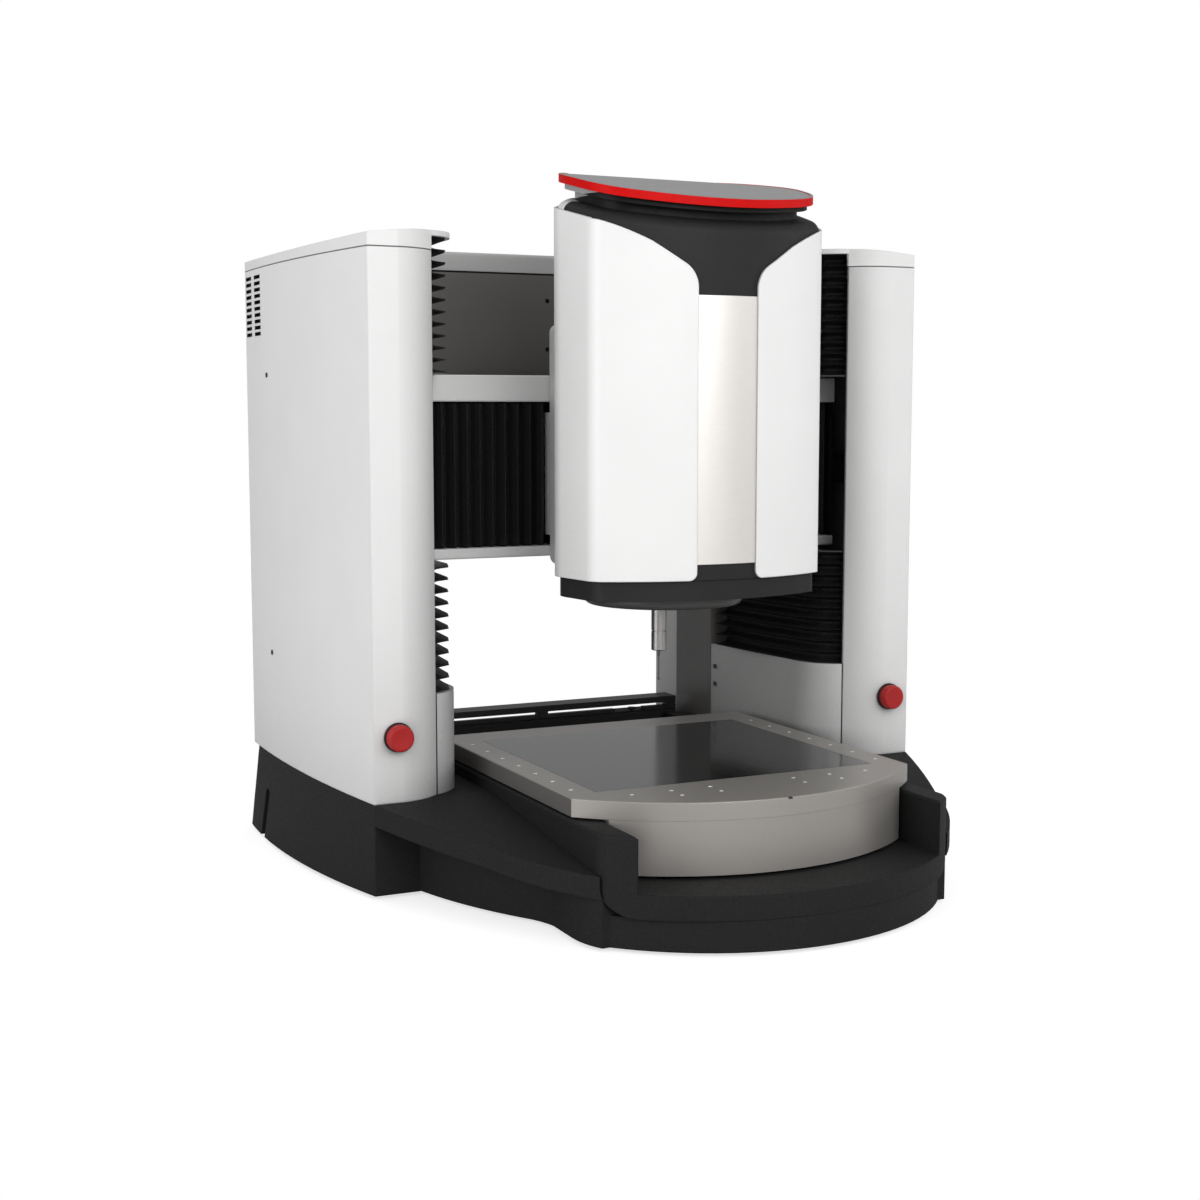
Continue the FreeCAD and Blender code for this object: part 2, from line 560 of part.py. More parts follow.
def base_casting():
    def block_outline(front_half, rear_half, radius):
        return [
            (-front_half, -S.front_flat_y),
            (front_half, -S.front_flat_y, radius, -1),
            (rear_half, S.rear_face),
            (-rear_half, S.rear_face, radius, -1),
        ]
    foot = free_sketch("base_bottom", "XY",
                       [block_outline(S.base_front_half, S.base_rear_half, S.base_side_radius)], S.foot_height)
    deck = free_sketch("base_deck", "XY",
                       [block_outline(S.deck_front_half, S.deck_rear_half, S.deck_side_radius)], S.deck_level)
    rear = doc.addObject("Part::Loft", "base_rear_sharp")
    rear.Sections = [foot, deck]
    rear.Solid = True
    rear.Ruled = True
    rear = round_edges("base_rear", rear, S.base_corner_radius,
                       lambda e: min(v.Point.y for v in e.Vertexes) > S.rear_face.value - 1
                       and abs(e.Vertexes[0].Point.z - e.Vertexes[-1].Point.z) > 10)
    body = extrude("base_body", "XY", [[
        (-S.step_half, S.front_flat_y), (-S.step_half, -S.front_flat_y, S.recess_radius, -1),
        (-S.recess_end_x, -S.recess_end_y, S.recess_blend, 1), (-S.drum_half, -S.drum_shoulder),
        (-S.drum_half, -S.drum_turn, S.lip_radius, -1), (-S.wing_end_x, -S.lip_end_y),
        (S.wing_end_x, -S.lip_end_y, S.lip_radius, -1), (S.drum_half, -S.drum_turn),
        (S.drum_half, -S.drum_shoulder, S.recess_blend, 1), (S.recess_end_x, -S.recess_end_y, S.recess_radius, -1),
        (S.step_half, -S.front_flat_y), (S.step_half, S.front_flat_y)]], S.foot_height, S.deck_level)
    slope = extrude("base_slope", "YZ", [[
        (-S.wing_end_y - S.drum_shoulder, 0), (S.front_flat_y, 0), (S.front_flat_y, S.deck_level),
        (-S.front_flat_y, S.deck_level), (-S.wing_end_y, S.deck_level - S.wing_drop),
        (-S.wing_end_y - S.drum_shoulder, S.deck_level - S.wing_drop)]],
        -S.base_rear_half, S.base_rear_half)
    body = common("base_middle", body, slope)
    drum = extrude("base_drum", "XY", [[
        (-S.drum_half, -S.drum_turn, S.drum_turn_radius, -1), (-S.drum_end_x, -S.drum_corner, S.drum_radius, -1),
        (S.drum_end_x, -S.drum_corner, S.drum_turn_radius, -1), (S.drum_half, -S.drum_turn),
        (S.drum_half, -S.drum_shoulder), (-S.drum_half, -S.drum_shoulder)]], S.foot_height, S.drum_top)
    plan = extrude("wing_plan", "XY", [[
        (-S.front_flat_x, S.front_flat_y), (-S.base_front_half, -S.front_flat_y, S.wing_outer_radius, -1),
        (-S.wing_mid_x, -S.wing_mid_y, S.surround_radius, -1), (-S.wing_end_x, -S.wing_end_y),
        (S.wing_end_x, -S.wing_end_y, S.surround_radius, -1), (S.wing_mid_x, -S.wing_mid_y,
         S.wing_outer_radius, -1), (S.base_front_half, -S.front_flat_y), (S.front_flat_x, S.front_flat_y)]],
        S.foot_height, S.deck_level)
    sheet_profile = extrude("wing_slope", "YZ", [[
        (-S.wing_end_y, S.deck_level - S.wing_drop - S.wing_thickness),
        (-S.front_flat_y, S.deck_level - S.wing_thickness), (S.front_flat_y, S.deck_level - S.wing_thickness),
        (S.front_flat_y, S.deck_level), (-S.front_flat_y, S.deck_level),
        (-S.wing_end_y, S.deck_level - S.wing_drop)]], -S.base_rear_half, S.base_rear_half)
    wings = common("base_wings", plan, sheet_profile)
    casting = fuse("base_block", rear, body, drum, wings)
    channel = block("base_channel", (-S.surround_half, -S.surround_front - S.foot_height, S.drum_top),
                    (S.surround_half, S.surround_back, S.deck_level + S.foot_height))
    channel = round_edges("base_channel_rounded", channel, S.surround_fillet - S.channel_relief,
                          lambda e: abs(e.Vertexes[0].Point.x - e.Vertexes[-1].Point.x) < 1
                          and max(v.Point.z for v in e.Vertexes) < S.drum_top.value + 1)
    casting = cut("base_channelled", casting, channel)
    slots = []
    for name, side in SIDES:
        middle = (S.base_rear_half + S.deck_rear_half) / 2
        low, high = side_span(side, middle - S.edge_slot_depth, middle + S.edge_slot_depth * 3)
        slots.append(extrude(f"edge_slot_{name}", "YZ", [[
            (S.edge_slot_back - S.edge_slot_width / 2, 0), (S.edge_slot_back + S.edge_slot_width / 2, 0),
            (S.edge_slot_back + S.edge_slot_width / 2, S.edge_slot_top, S.edge_slot_width * 0.55, -1),
            (S.edge_slot_back - S.edge_slot_width / 2, S.edge_slot_top)]], low, high))
    slots.append(extrude("foot_sockets", "XY", [
        ("circle", x, y, S.foot_stud_radius) for x, y in foot_places()],
        0, S.foot_height + S.foot_socket_depth))
    slots.append(block("inlet_recess", (S.inlet_x - S.inlet_half_width - S.running_gap,
                                        S.rear_face - S.inlet_depth,
                                        S.inlet_level - S.inlet_half_height - S.running_gap),
                       (S.inlet_x + S.inlet_half_width + S.running_gap, S.rear_face + S.inlet_flange,
                        S.inlet_level + S.inlet_half_height + S.running_gap)))
    for name, side in SIDES:
        left, right = side_span(side, S.drum_half + S.core_wall, S.deck_front_half - S.core_wall)
        for place, near, far in (("front", -S.core_front, S.core_middle - S.core_wall),
                                 ("rear", S.core_middle, S.core_back)):
            slots.append(block(f"base_core_{name}_{place}", (left, near, 0),
                               (right, far, S.deck_level - S.core_wall)))
    keep("base_casting", cut("base_finished", casting, fuse("base_openings", *slots)))


def foot_places():
    return [(S.foot_side, S.foot_back), (-S.foot_side, S.foot_back),
            (S.foot_front_side, -S.foot_front), (-S.foot_front_side, -S.foot_front)]


def leveling_feet():
    """Four feet: a pad on the bench and a stud that goes up into the casting."""
    feet = Piece("leveling_feet")
    places = foot_places()
    feet.pad("XY", [("circle", x, y, S.foot_radius) for x, y in places], 0, S.foot_height)
    feet.pad("XY", [("circle", x, y, S.foot_stud_radius) for x, y in places],
             S.foot_height, S.foot_height + S.foot_socket_depth)


def front_surround():
    """The tray that the stage's apron hangs in: floor, two walls and a bowed front."""
    tray = Piece("front_surround")
    tray.pad("XY", [[
        (-S.surround_half, -(S.surround_front - surround_rise()), S.surround_radius, -1),
        (S.surround_half, -(S.surround_front - surround_rise())),
        (S.surround_half, S.surround_back), (-S.surround_half, S.surround_back)]],
        S.drum_top, S.surround_top)
    tray.fillet(S.surround_fillet, lambda e: e.Vertexes[0].Point.z < S.drum_top.value + 1
                and all(abs(abs(v.Point.x) - S.surround_half.value) < 0.1 for v in e.Vertexes)
                and e.Curve.TypeId == "Part::GeomLine" and e.Length > 100)
    tray.pocket("XZ", [rectangle(-S.surround_inner_half, S.surround_floor,
                                 S.surround_inner_half, S.surround_top + S.foot_height)],
                -S.surround_front - S.foot_height, S.surround_back + S.foot_height)
    centres = ((-S.stage_rail_x, S.groove_half), (0, S.groove_half * 0.8), (S.stage_rail_x, S.groove_half))
    tray.pocket("XY", [rectangle(x - half, -S.groove_front, x + half, S.groove_back) for x, half in centres],
                S.groove_low, S.surround_floor)
    tray.chamfer(S.rail_edge_radius, lambda e: e.Vertexes[0].Point.z > S.surround_top.value - 1
                 and e.Vertexes[-1].Point.z > S.surround_top.value - 1 and e.Length > 100)


def surround_rise():
    """How far the bowed front stands out past the walls' outer corners."""
    radius, half = S.surround_radius.value, S.surround_half.value
    rise = radius - math.sqrt(radius ** 2 - half ** 2)
    text = "(sizes.surround_radius - sqrt(sizes.surround_radius ^ 2 - sizes.surround_half ^ 2))"
    return Size(rise, text)


def rear_rails():
    rail = Piece("rear_cross_rail")
    rail.pad("YZ", [rectangle(S.rail_front, S.deck_level, S.rail_back, S.cross_rail_top)],
             -S.cross_rail_half, S.cross_rail_half)
    rail.chamfer(S.rail_edge_radius, lambda e: e.Length > S.cross_rail_half.value and e.Vertexes[0].Point.z > S.deck_level.value + 1)
    bar = Piece("guard_bar")
    bar.pad("YZ", [rectangle(S.rail_front, S.guard_bottom, S.rail_back, S.guard_top)],
            -S.cross_rail_half, S.cross_rail_half)
    bar.chamfer(S.rail_edge_radius, lambda e: e.Length > S.cross_rail_half.value and e.Vertexes[0].Point.z > S.guard_bottom.value + 1)
    middle = (S.rail_front + S.rail_back) / 2
    bar.pad("XY", [("circle", S.spacer_pitch * k, middle, S.spacer_radius) for k in (-2, -1, 0, 1, 2)],
            S.cross_rail_top, S.guard_bottom)


# Portal: an arch that stands on the deck and carries the vertical guides

def portal():
    arch = Piece("portal_frame")
    arch.pad("XZ", [[(-S.portal_half, S.deck_level), (-S.portal_opening_half, S.deck_level),
                     (-S.portal_opening_half, S.portal_opening_top), (S.portal_opening_half, S.portal_opening_top),
                     (S.portal_opening_half, S.deck_level), (S.portal_half, S.deck_level),
                     (S.portal_half, S.portal_top), (-S.portal_half, S.portal_top)]],
             S.portal_front, S.portal_back)
    arch.fillet(S.portal_opening_radius, lambda e: e.Length < 200
                and all(abs(abs(v.Point.x) - S.portal_opening_half.value) < 0.1 for v in e.Vertexes)
                and all(abs(v.Point.z - S.portal_opening_top.value) < 0.1 for v in e.Vertexes))
    rib, back = S.portal_rib, S.portal_opening_top
    leg = (S.portal_opening_half + rib, S.portal_half - rib)
    cells = []
    for low, high in ((S.deck_level + rib, back / 2 + rib), (back / 2 + rib * 2, back - rib),
                      (back + rib, S.portal_top - rib)):
        cells += mirror_pair(leg[0], low, leg[1], high)
    cells += mirror_pair(rib / 2, back + rib, S.portal_opening_half - rib / 2, S.portal_top - rib)
    arch.pocket("XZ", cells, S.portal_front + rib, S.portal_back)
    panel = Piece("portal_panel")
    half = S.portal_opening_half - S.portal_panel_margin
    low = S.portal_opening_top + S.portal_opening_radius / 3
    panel.pad("XZ", [rectangle(-half, low, half, S.portal_top - S.portal_panel_margin)] + [
        ("circle", side * S.panel_hole_x, level, S.panel_hole_radius)
        for side in (-1, 1) for level in (S.panel_hole_high, S.panel_hole_low)],
        S.portal_front - S.portal_panel_thickness, S.portal_front)
    cover = Piece("portal_rear_cover")
    back = S.portal_back + S.rear_panel_margin
    front = S.portal_front - S.portal_panel_thickness
    wall = S.rear_panel_thickness
    cover.pad("YZ", [[(front, S.top_cover_high), (front, S.portal_top),
                      (front + wall, S.portal_top), (front + wall, S.top_cover_high - wall),
                      (back - wall, S.top_cover_high - wall), (back - wall, S.portal_opening_top + wall),
                      (S.portal_back, S.portal_opening_top + wall), (S.portal_back, S.portal_opening_top),
                      (back, S.portal_opening_top), (back, S.top_cover_high)]],
              -(S.portal_opening_half - S.cap_gap), S.portal_opening_half - S.cap_gap)
    cover.fillet(S.rail_edge_radius * 2, lambda e: e.Length > S.portal_opening_half.value * 1.5
                 and e.Vertexes[0].Point.z > S.top_cover_high.value - 0.1)


# Columns: a thin cover round the outside, a cap on top and a boot inside the bay

def column_ring(name, side, low, high):
    outer = inset_prism(name + "_outer", column_outline(side), 0, low, high)
    inner = inset_prism(name + "_inner", column_outline(side), S.cover_wall, low, high)
    return cut(name + "_ring", outer, inner)


def side_span(side, near, far):
    """The low and high X of a stretch that is given by its distances from the middle."""
    near, far = size(near), size(far)
    return (near, far) if side > 0 else (-far, -near)


def column_cover(name, side):
    ring_solid = column_ring(f"cover_{name}", side, S.deck_level, S.cap_seam)
    left, right = side_span(side, S.portal_opening_half - S.cover_wall, S.front_edge_x)
    bay = block(f"cover_{name}_bay", (left, -S.surround_front, S.deck_level - S.foot_height),
                (right, S.portal_back, S.cap_seam + S.foot_height))
    opened = cut(f"cover_{name}_open", ring_solid, bay)
    wall_low, wall_high = side_span(side, S.deck_rear_half - S.core_wall, S.deck_rear_half + S.core_wall)
    slots = []
    for row in range(int(DIMENSIONS["vent_slots"])):
        level = S.vent_low + S.vent_pitch * row
        for front in (S.vent_front, S.vent_rear):
            slots.append(rectangle(front, level, front + S.vent_slot_width, level + S.vent_slot_height))
    vents = extrude(f"cover_{name}_vents", "YZ", slots, wall_low, wall_high)
    bore = extrude(f"cover_{name}_bore", "XZ", [("circle", side * S.stop_x, S.stop_level,
                                                 S.stop_bezel_radius - S.cover_wall)],
                   -S.surround_front, S.front_flat_y)
    keep(f"column_cover_{name}", cut(f"cover_{name}_finished", opened,
                                     fuse(f"cover_{name}_holes", vents, bore)))


def column_caps():
    caps = []
    for name, side in SIDES:
        outer = inset_prism(f"cap_{name}_outer", column_outline(side), 0, S.cap_seam + S.cap_gap, S.cap_inner_top)
        run = S.deck_rear_half - S.bay_back_x
        crown = extrude(f"cap_{name}_crown", "XZ", [[
            (side * (S.bay_back_x - S.cover_wall), S.cap_seam), (side * (S.deck_rear_half + S.cover_wall), S.cap_seam),
            (side * (S.deck_rear_half + S.cover_wall), S.cap_outer_top, run * 6, -side),
            (side * (S.bay_back_x - S.cover_wall), S.cap_inner_top)]], -S.surround_front, S.rear_face)
        solid = common(f"cap_{name}_solid", outer, crown)
        inner = inset_prism(f"cap_{name}_inner", column_outline(side), S.cover_wall,
                            S.cap_seam - S.foot_height, S.cap_outer_top - S.cover_wall)
        left, right = side_span(side, S.portal_opening_half - S.cover_wall, S.front_edge_x - S.cap_gap)
        mouth = block(f"cap_{name}_mouth", (left, -S.surround_front, S.cap_seam - S.foot_height),
                      (right, S.bay_back_y, S.cap_ceiling))
        left, right = side_span(side, S.bay_back_x, S.front_edge_x + S.pleat_depth)
        room = block(f"cap_{name}_room", (left, -S.front_edge_y + S.cover_wall * 1.5, S.cap_seam - S.foot_height),
                     (right, S.bay_back_y, S.cap_ceiling))
        caps.append(cut(f"cap_{name}", solid, fuse(f"cap_{name}_hollow", inner, mouth, room)))
    keep("column_caps", fuse("caps_joined", *caps))


def boot_covers():
    boots = []
    for name, side in SIDES:
        outer = inset_prism(f"boot_{name}_outer", column_outline(side), 0, S.deck_level, S.boot_top)
        inner = inset_prism(f"boot_{name}_inner", column_outline(side), S.cover_wall,
                            S.deck_level - S.foot_height, S.boot_top - S.boot_roof)
        shell = cut(f"boot_{name}_shell", outer, inner)
        left, right = side_span(side, S.portal_opening_half - S.cover_wall, S.front_edge_x - S.boot_seam)
        keep_box = block(f"boot_{name}_bay", (left, -S.surround_front, S.deck_level),
                         (right, S.portal_front - S.running_gap, S.boot_top))
        boots.append(common(f"boot_{name}", shell, keep_box))
    keep("boot_covers", fuse("boots_joined", *boots))


def cover_screws():
    """Round screw heads: two on each column's outer side and two on each boot's back edge."""
    screws = Piece("cover_screws")
    radius = S.screw_radius
    heads = [("circle", S.side_screw_head_y, level, radius)
             for level in (S.side_screw_head_high, S.side_screw_head_low)]
    outer = column_side_x(DIMENSIONS["side_screw_head_y"] + DIMENSIONS["screw_radius"])
    boot = [("circle", S.boot_screw_y, level, radius) for level in (S.boot_screw_high, S.boot_screw_low)]
    inner = bay_side_x(DIMENSIONS["boot_screw_y"] + DIMENSIONS["screw_radius"])
    for side in (-1, 1):
        low, high = side_span(side, outer, outer + S.screw_proud)
        screws.pad("YZ", heads, low, high)
        low, high = side_span(side, inner - S.screw_proud, inner)
        screws.pad("YZ", boot, low, high)


def bowed_x(start, end, radius, y):
    """X of a bowed side at a distance y from the middle; the bow stands out to +X."""
    half = (end - start).Length / 2
    way = (end - start).normalize()
    centre = (start + end) * 0.5 + Vector(-way.y, way.x, 0) * math.sqrt(radius ** 2 - half ** 2)
    x = centre.x + math.sqrt(radius ** 2 - (y - centre.y) ** 2)
    return Size(x, f"{x}")


def column_side_x(y):
    return bowed_x(Vector(S.deck_front_half.value, -S.front_flat_y.value, 0),
                   Vector(S.deck_rear_half.value, S.rear_face.value, 0), S.deck_side_radius.value, y)


def bay_side_x(y):
    return bowed_x(Vector(S.bay_front_x.value, S.bay_front_y.value, 0),
                   Vector(S.bay_back_x.value, S.bay_back_y.value, 0), S.bay_side_radius.value, y)


def vent_mesh():
    """Dark mesh plates behind the slots of both columns."""
    mesh = Piece("vent_mesh")
    top = S.vent_low + S.vent_pitch * S.vent_slots
    outer = S.deck_rear_half - S.cover_wall
    for side in (-1, 1):
        low, high = side_span(side, outer - S.vent_mesh_depth, outer)
        mesh.pad("YZ", [rectangle(S.vent_front - S.vent_mesh_margin, S.vent_low - S.vent_mesh_margin,
                                  S.rear_face - S.cover_wall - S.running_gap, top + S.vent_mesh_margin)],
                 low, high)


# Bellows: thin pleated curtains

def pleated_curtain(path, low, high, pleats, depth, wall):
    """A pleated sheet that runs along a plan path; its pleats stand out to the left of the path."""
    pitch = (high - low) / pleats
    face, back = [], []
    for step in range(2 * pleats + 1):
        level = low + pitch * step / 2
        out = depth if step % 2 else 0
        face.append((out + wall, level))
        back.append((out, level))
    profile = face + back[::-1]
    sections = []
    for index, point in enumerate(path):
        here = Vector(point[0], point[1], 0)
        before = Vector(*path[index - 1][:2], 0) if index else None
        after = Vector(*path[index + 1][:2], 0) if index + 1 < len(path) else None
        ways = [(here - before).normalize()] if before is not None else []
        if after is not None:
            ways.append((after - here).normalize())
        normals = [Vector(-way.y, way.x, 0) for way in ways]
        mitre = normals[0] if len(normals) == 1 else (normals[0] + normals[1]).normalize()
        stretch = 1 / mitre.dot(normals[0])
        points = [here + mitre * (out * stretch) + Vector(0, 0, level) for out, level in profile]
        sections.append(Part.makePolygon(points + [points[0]]))
    return Part.makeLoft(sections, True, True)


def bay_path():
    """The plan line of the right column's curtains, from the back of the bay round to its mouth."""
    inset = S.bellows_inset.value
    back, front = S.bay_back_y.value, S.bay_front_y.value
    mouth = S.front_edge_x.value - S.bay_front_x.value
    middle = (back + front) / 2
    return [(S.bay_back_x.value + inset, back - 2 * inset),
            (bay_side_x(middle).value + inset, middle),
            (S.bay_front_x.value + inset, front + inset),
            (S.bay_front_x.value + mouth * 0.33, front - mouth * 0.75),
            (S.front_edge_x.value, -S.front_edge_y.value + 8)]


def column_bellows():
    depth, wall = S.pleat_depth.value, S.pleat_wall.value
    frame = S.bellows_frame.value
    spans = (("upper_bellows", S.beam_high.value + frame + S.bellows_gap.value,
              S.cap_ceiling.value - S.bellows_gap.value, int(DIMENSIONS["pleats_up"])),
             ("lower_bellows", S.boot_top.value + S.bellows_gap.value,
              S.beam_low.value - frame - S.bellows_gap.value, int(DIMENSIONS["pleats_down"])))
    for label, low, high, pleats in spans:
        right = pleated_curtain(bay_path(), low, high, pleats, depth, wall)
        left = right.mirror(Vector(0, 0, 0), Vector(1, 0, 0))
        pair = doc.addObject("Part::Feature", label)
        pair.Shape = Part.makeCompound([right, left])
        keep(label, pair)


def bellows_frames():
    """Thin plates on the beam's ends that the upright curtains are fixed to."""
    depth = S.pleat_depth.value + S.pleat_wall.value
    path = [Vector(x, y, 0) for x, y in bay_path()]
    rows = []
    for index, here in enumerate(path):
        ways = [(b - a).normalize() for a, b in zip(path[max(index - 1, 0):index + 1], path[max(index, 1):index + 2])]
        across = Vector(0, 0, 0)
        for way in ways:
            across += Vector(-way.y, way.x, 0)
        rows.append((here, here + across.normalize() * depth))
    outline = [row[0] for row in rows] + [row[1] for row in rows[::-1]]
    frames = []
    for low in (S.beam_high.value, S.beam_low.value - S.bellows_frame.value):
        corners = [Vector(p.x, p.y, low) for p in outline]
        face = Part.Face(Part.makePolygon(corners + [corners[0]]))
        right = face.extrude(Vector(0, 0, S.bellows_frame.value))
        frames += [right, right.mirror(Vector(0, 0, 0), Vector(1, 0, 0))]
    made = doc.addObject("Part::Feature", "bellows_frames")
    made.Shape = Part.makeCompound(frames)
    keep("bellows_frames", made)


def side_bellows():
    """Upright pleats that close the beam's front on both sides of the carriage."""
    curtain = Piece("side_bellows")
    loops = []
    for side in (-1, 1):
        near = S.plate_half + S.bellows_gap + side * S.head_home
        far = S.side_bellows_end - S.bellows_gap
        pleats = int(DIMENSIONS["pleats_side"])
        face, back = [], []
        for step in range(2 * pleats + 1):
            x = (near + (far - near) * (step / (2 * pleats))) * side
            y = S.side_bellows_front + (0 if step % 2 else 1) * S.side_pleat_depth
            face.append((x, y))
            back.append((x, y + S.pleat_wall))
        loops.append(face + back[::-1])
    curtain.pad("XY", loops, S.side_bellows_low, S.side_bellows_high)


# Guides, screws and motors

def upright_guides():
    rails = Piece("guide_rails")
    rails.pad("XY", mirror_pair(S.upright_rail_x - S.rail_width / 2, S.portal_front - S.rail_height,
                                S.upright_rail_x + S.rail_width / 2, S.portal_front),
              S.upright_rail_low, S.upright_rail_high)
    rails.pad("XZ", mirror_pair(S.stage_rail_x - S.rail_width / 2, S.groove_low,
                                S.stage_rail_x + S.rail_width / 2, S.groove_low + S.rail_height),
              -S.stage_rail_front, S.stage_rail_back)


def screw_bearings():
    """Bearing blocks that hold the two upright screws and the stage's screw."""
    blocks = Piece("screw_bearings")
    half, bore = S.bearing_half, S.screw_shaft_radius + S.running_gap
    for low in (S.upright_screw_low, S.upright_screw_high - S.bearing_height):
        loops = []
        for side in (-1, 1):
            left, right = side_span(side, S.upright_screw_x - half, S.upright_screw_x + half)
            loops.append(rectangle(left, S.upright_screw_y - half, right, S.portal_front))
            loops.append(("circle", side * S.upright_screw_x, S.upright_screw_y, bore))
        blocks.pad("XY", loops, low, low + S.bearing_height)
    for back in (-S.stage_screw_front + S.bearing_height, S.stage_screw_back):
        blocks.pad("XZ", [rectangle(-S.stage_motor_half, S.groove_low, S.stage_motor_half, S.surround_floor),
                          ("circle", 0, S.stage_screw_level, S.stage_shaft_radius + S.running_gap)],
                   back - S.bearing_height, back)


def upright_screw(name, side):
    screw = Piece(f"upright_screw_{name}")
    screw.pad("XY", [("circle", side * S.upright_screw_x, S.upright_screw_y, S.screw_shaft_radius)],
              S.upright_screw_low, S.upright_screw_high)


def drive_motors():
    """Motors under the upright screws and behind the stage's screw."""
    motors = Piece("drive_motors")
    half = S.motor_half
    top = S.upright_screw_low - S.running_gap
    motors.pad("XY", mirror_pair(S.upright_screw_x - half, S.portal_front - half * 2, S.upright_screw_x + half,
                                 S.portal_front), top - S.motor_length, top)
    motors.chamfer(S.rail_edge_radius, upright)
    low = S.stage_screw_back + S.running_gap
    motors.pad("XZ", [rectangle(-S.stage_motor_half, S.groove_low, S.stage_motor_half, S.surround_floor)],
               low, low + S.stage_motor_length)


# Beam: a hollow web between two light rails, with the side guides on its front

def beam():
    web = Piece("beam_body")
    low, high = S.beam_lower_rail_top, S.beam_upper_rail_low
    wall = S.web_wall
    web.pad("YZ", [rectangle(S.web_front, low, S.beam_back, high),
                   rectangle(S.web_front + wall, low + wall, S.beam_back - wall, high - wall)],
            -S.beam_half, S.beam_half)
    cells = DIMENSIONS["beam_cells"]
    run = (S.beam_half * 2 - wall) / cells
    ribs = [rectangle(-S.beam_half + run * k, low, -S.beam_half + run * k + wall, high) for k in range(cells + 1)]
    web.pad("XZ", ribs, S.web_front, S.beam_back)
    ends = []
    for side in (-1, 1):
        left, right = side_span(side, S.side_bellows_end, S.beam_half)
        ends.append(rectangle(left, low, right, high))
    web.pad("XZ", ends, S.side_bellows_front - 1, S.web_front)
    web.pocket("YZ", [("circle", S.side_screw_y, S.side_screw_level, S.screw_shaft_radius + S.running_gap)],
               -S.beam_half - 1, S.beam_half + 1)
    for name, low, high in (("beam_lower_rail", S.beam_low, S.beam_lower_rail_top),
                            ("beam_upper_rail", S.beam_upper_rail_low, S.beam_high)):
        rail = Piece(name)
        rail.pad("YZ", [rectangle(S.beam_front, low, S.beam_back, high)], -S.beam_half, S.beam_half)
        rail.fillet(S.rail_edge_radius, lambda e: e.Length > 800 and e.Vertexes[0].Point.y < S.beam_back.value - 1)


def upright_carriages():
    """Four blocks behind the beam that clasp the upright rails."""
    blocks = Piece("upright_carriages")
    clear = S.carriage_clear
    front, back = S.beam_back, S.portal_front - clear * 6
    slot_front = S.portal_front - S.rail_height - clear
    spans = [(S.beam_low + S.web_wall, S.beam_low + S.web_wall + S.carriage_length),
             (S.beam_high - S.web_wall - S.carriage_length, S.beam_high - S.web_wall)]
    for low, high in spans:
        loops = []
        for side in (-1, 1):
            centre = side * S.upright_rail_x
            outer, inner = S.carriage_width / 2, S.rail_width / 2 + clear
            loops.append([(centre - outer, front), (centre + outer, front), (centre + outer, back),
                          (centre + inner, back), (centre + inner, slot_front),
                          (centre - inner, slot_front), (centre - inner, back), (centre - outer, back)])
        blocks.pad("XY", loops, low, high)


def upright_nuts():
    """Nuts that ride on the upright screws, bolted to the beam's back by a lug."""
    nuts = Piece("upright_nuts")
    low = S.side_screw_level - S.nut_length / 2
    loops = []
    for side in (-1, 1):
        left, right = side_span(side, S.upright_screw_x - S.nut_radius, S.upright_screw_x + S.nut_radius)
        loops.append(rectangle(left, S.beam_back, right, S.upright_screw_y + S.nut_radius - S.nut_inset))
        loops.append(("circle", side * S.upright_screw_x, S.upright_screw_y,
                      S.screw_shaft_radius + S.running_gap))
    nuts.pad("XY", loops, low, low + S.nut_length)
    nuts.chamfer(S.rail_edge_radius, upright)


def side_guides():
    rails = Piece("side_rails")
    half = S.side_bellows_end
    rails.pad("YZ", [rectangle(S.web_front - S.rail_height, level - S.rail_width / 2,
                               S.web_front, level + S.rail_width / 2)
                     for level in (S.side_rail_low, S.side_rail_high)], -half, half)
    screw = Piece("side_screw")
    screw.pad("YZ", [("circle", S.side_screw_y, S.side_screw_level, S.screw_shaft_radius)],
              -S.beam_half, S.beam_half)
    motor = Piece("side_motor")
    half = S.side_motor_half
    motor.pad("YZ", [rectangle(S.side_screw_y - half, S.side_screw_level - half,
                               S.side_screw_y + half, S.side_screw_level + half)],
              S.beam_half + S.running_gap, S.beam_half + S.running_gap + S.side_motor_length)
    motor.chamfer(S.rail_edge_radius * 2, lambda e: abs(e.Vertexes[0].Point.x - e.Vertexes[-1].Point.x) > 20)


# Head carriage

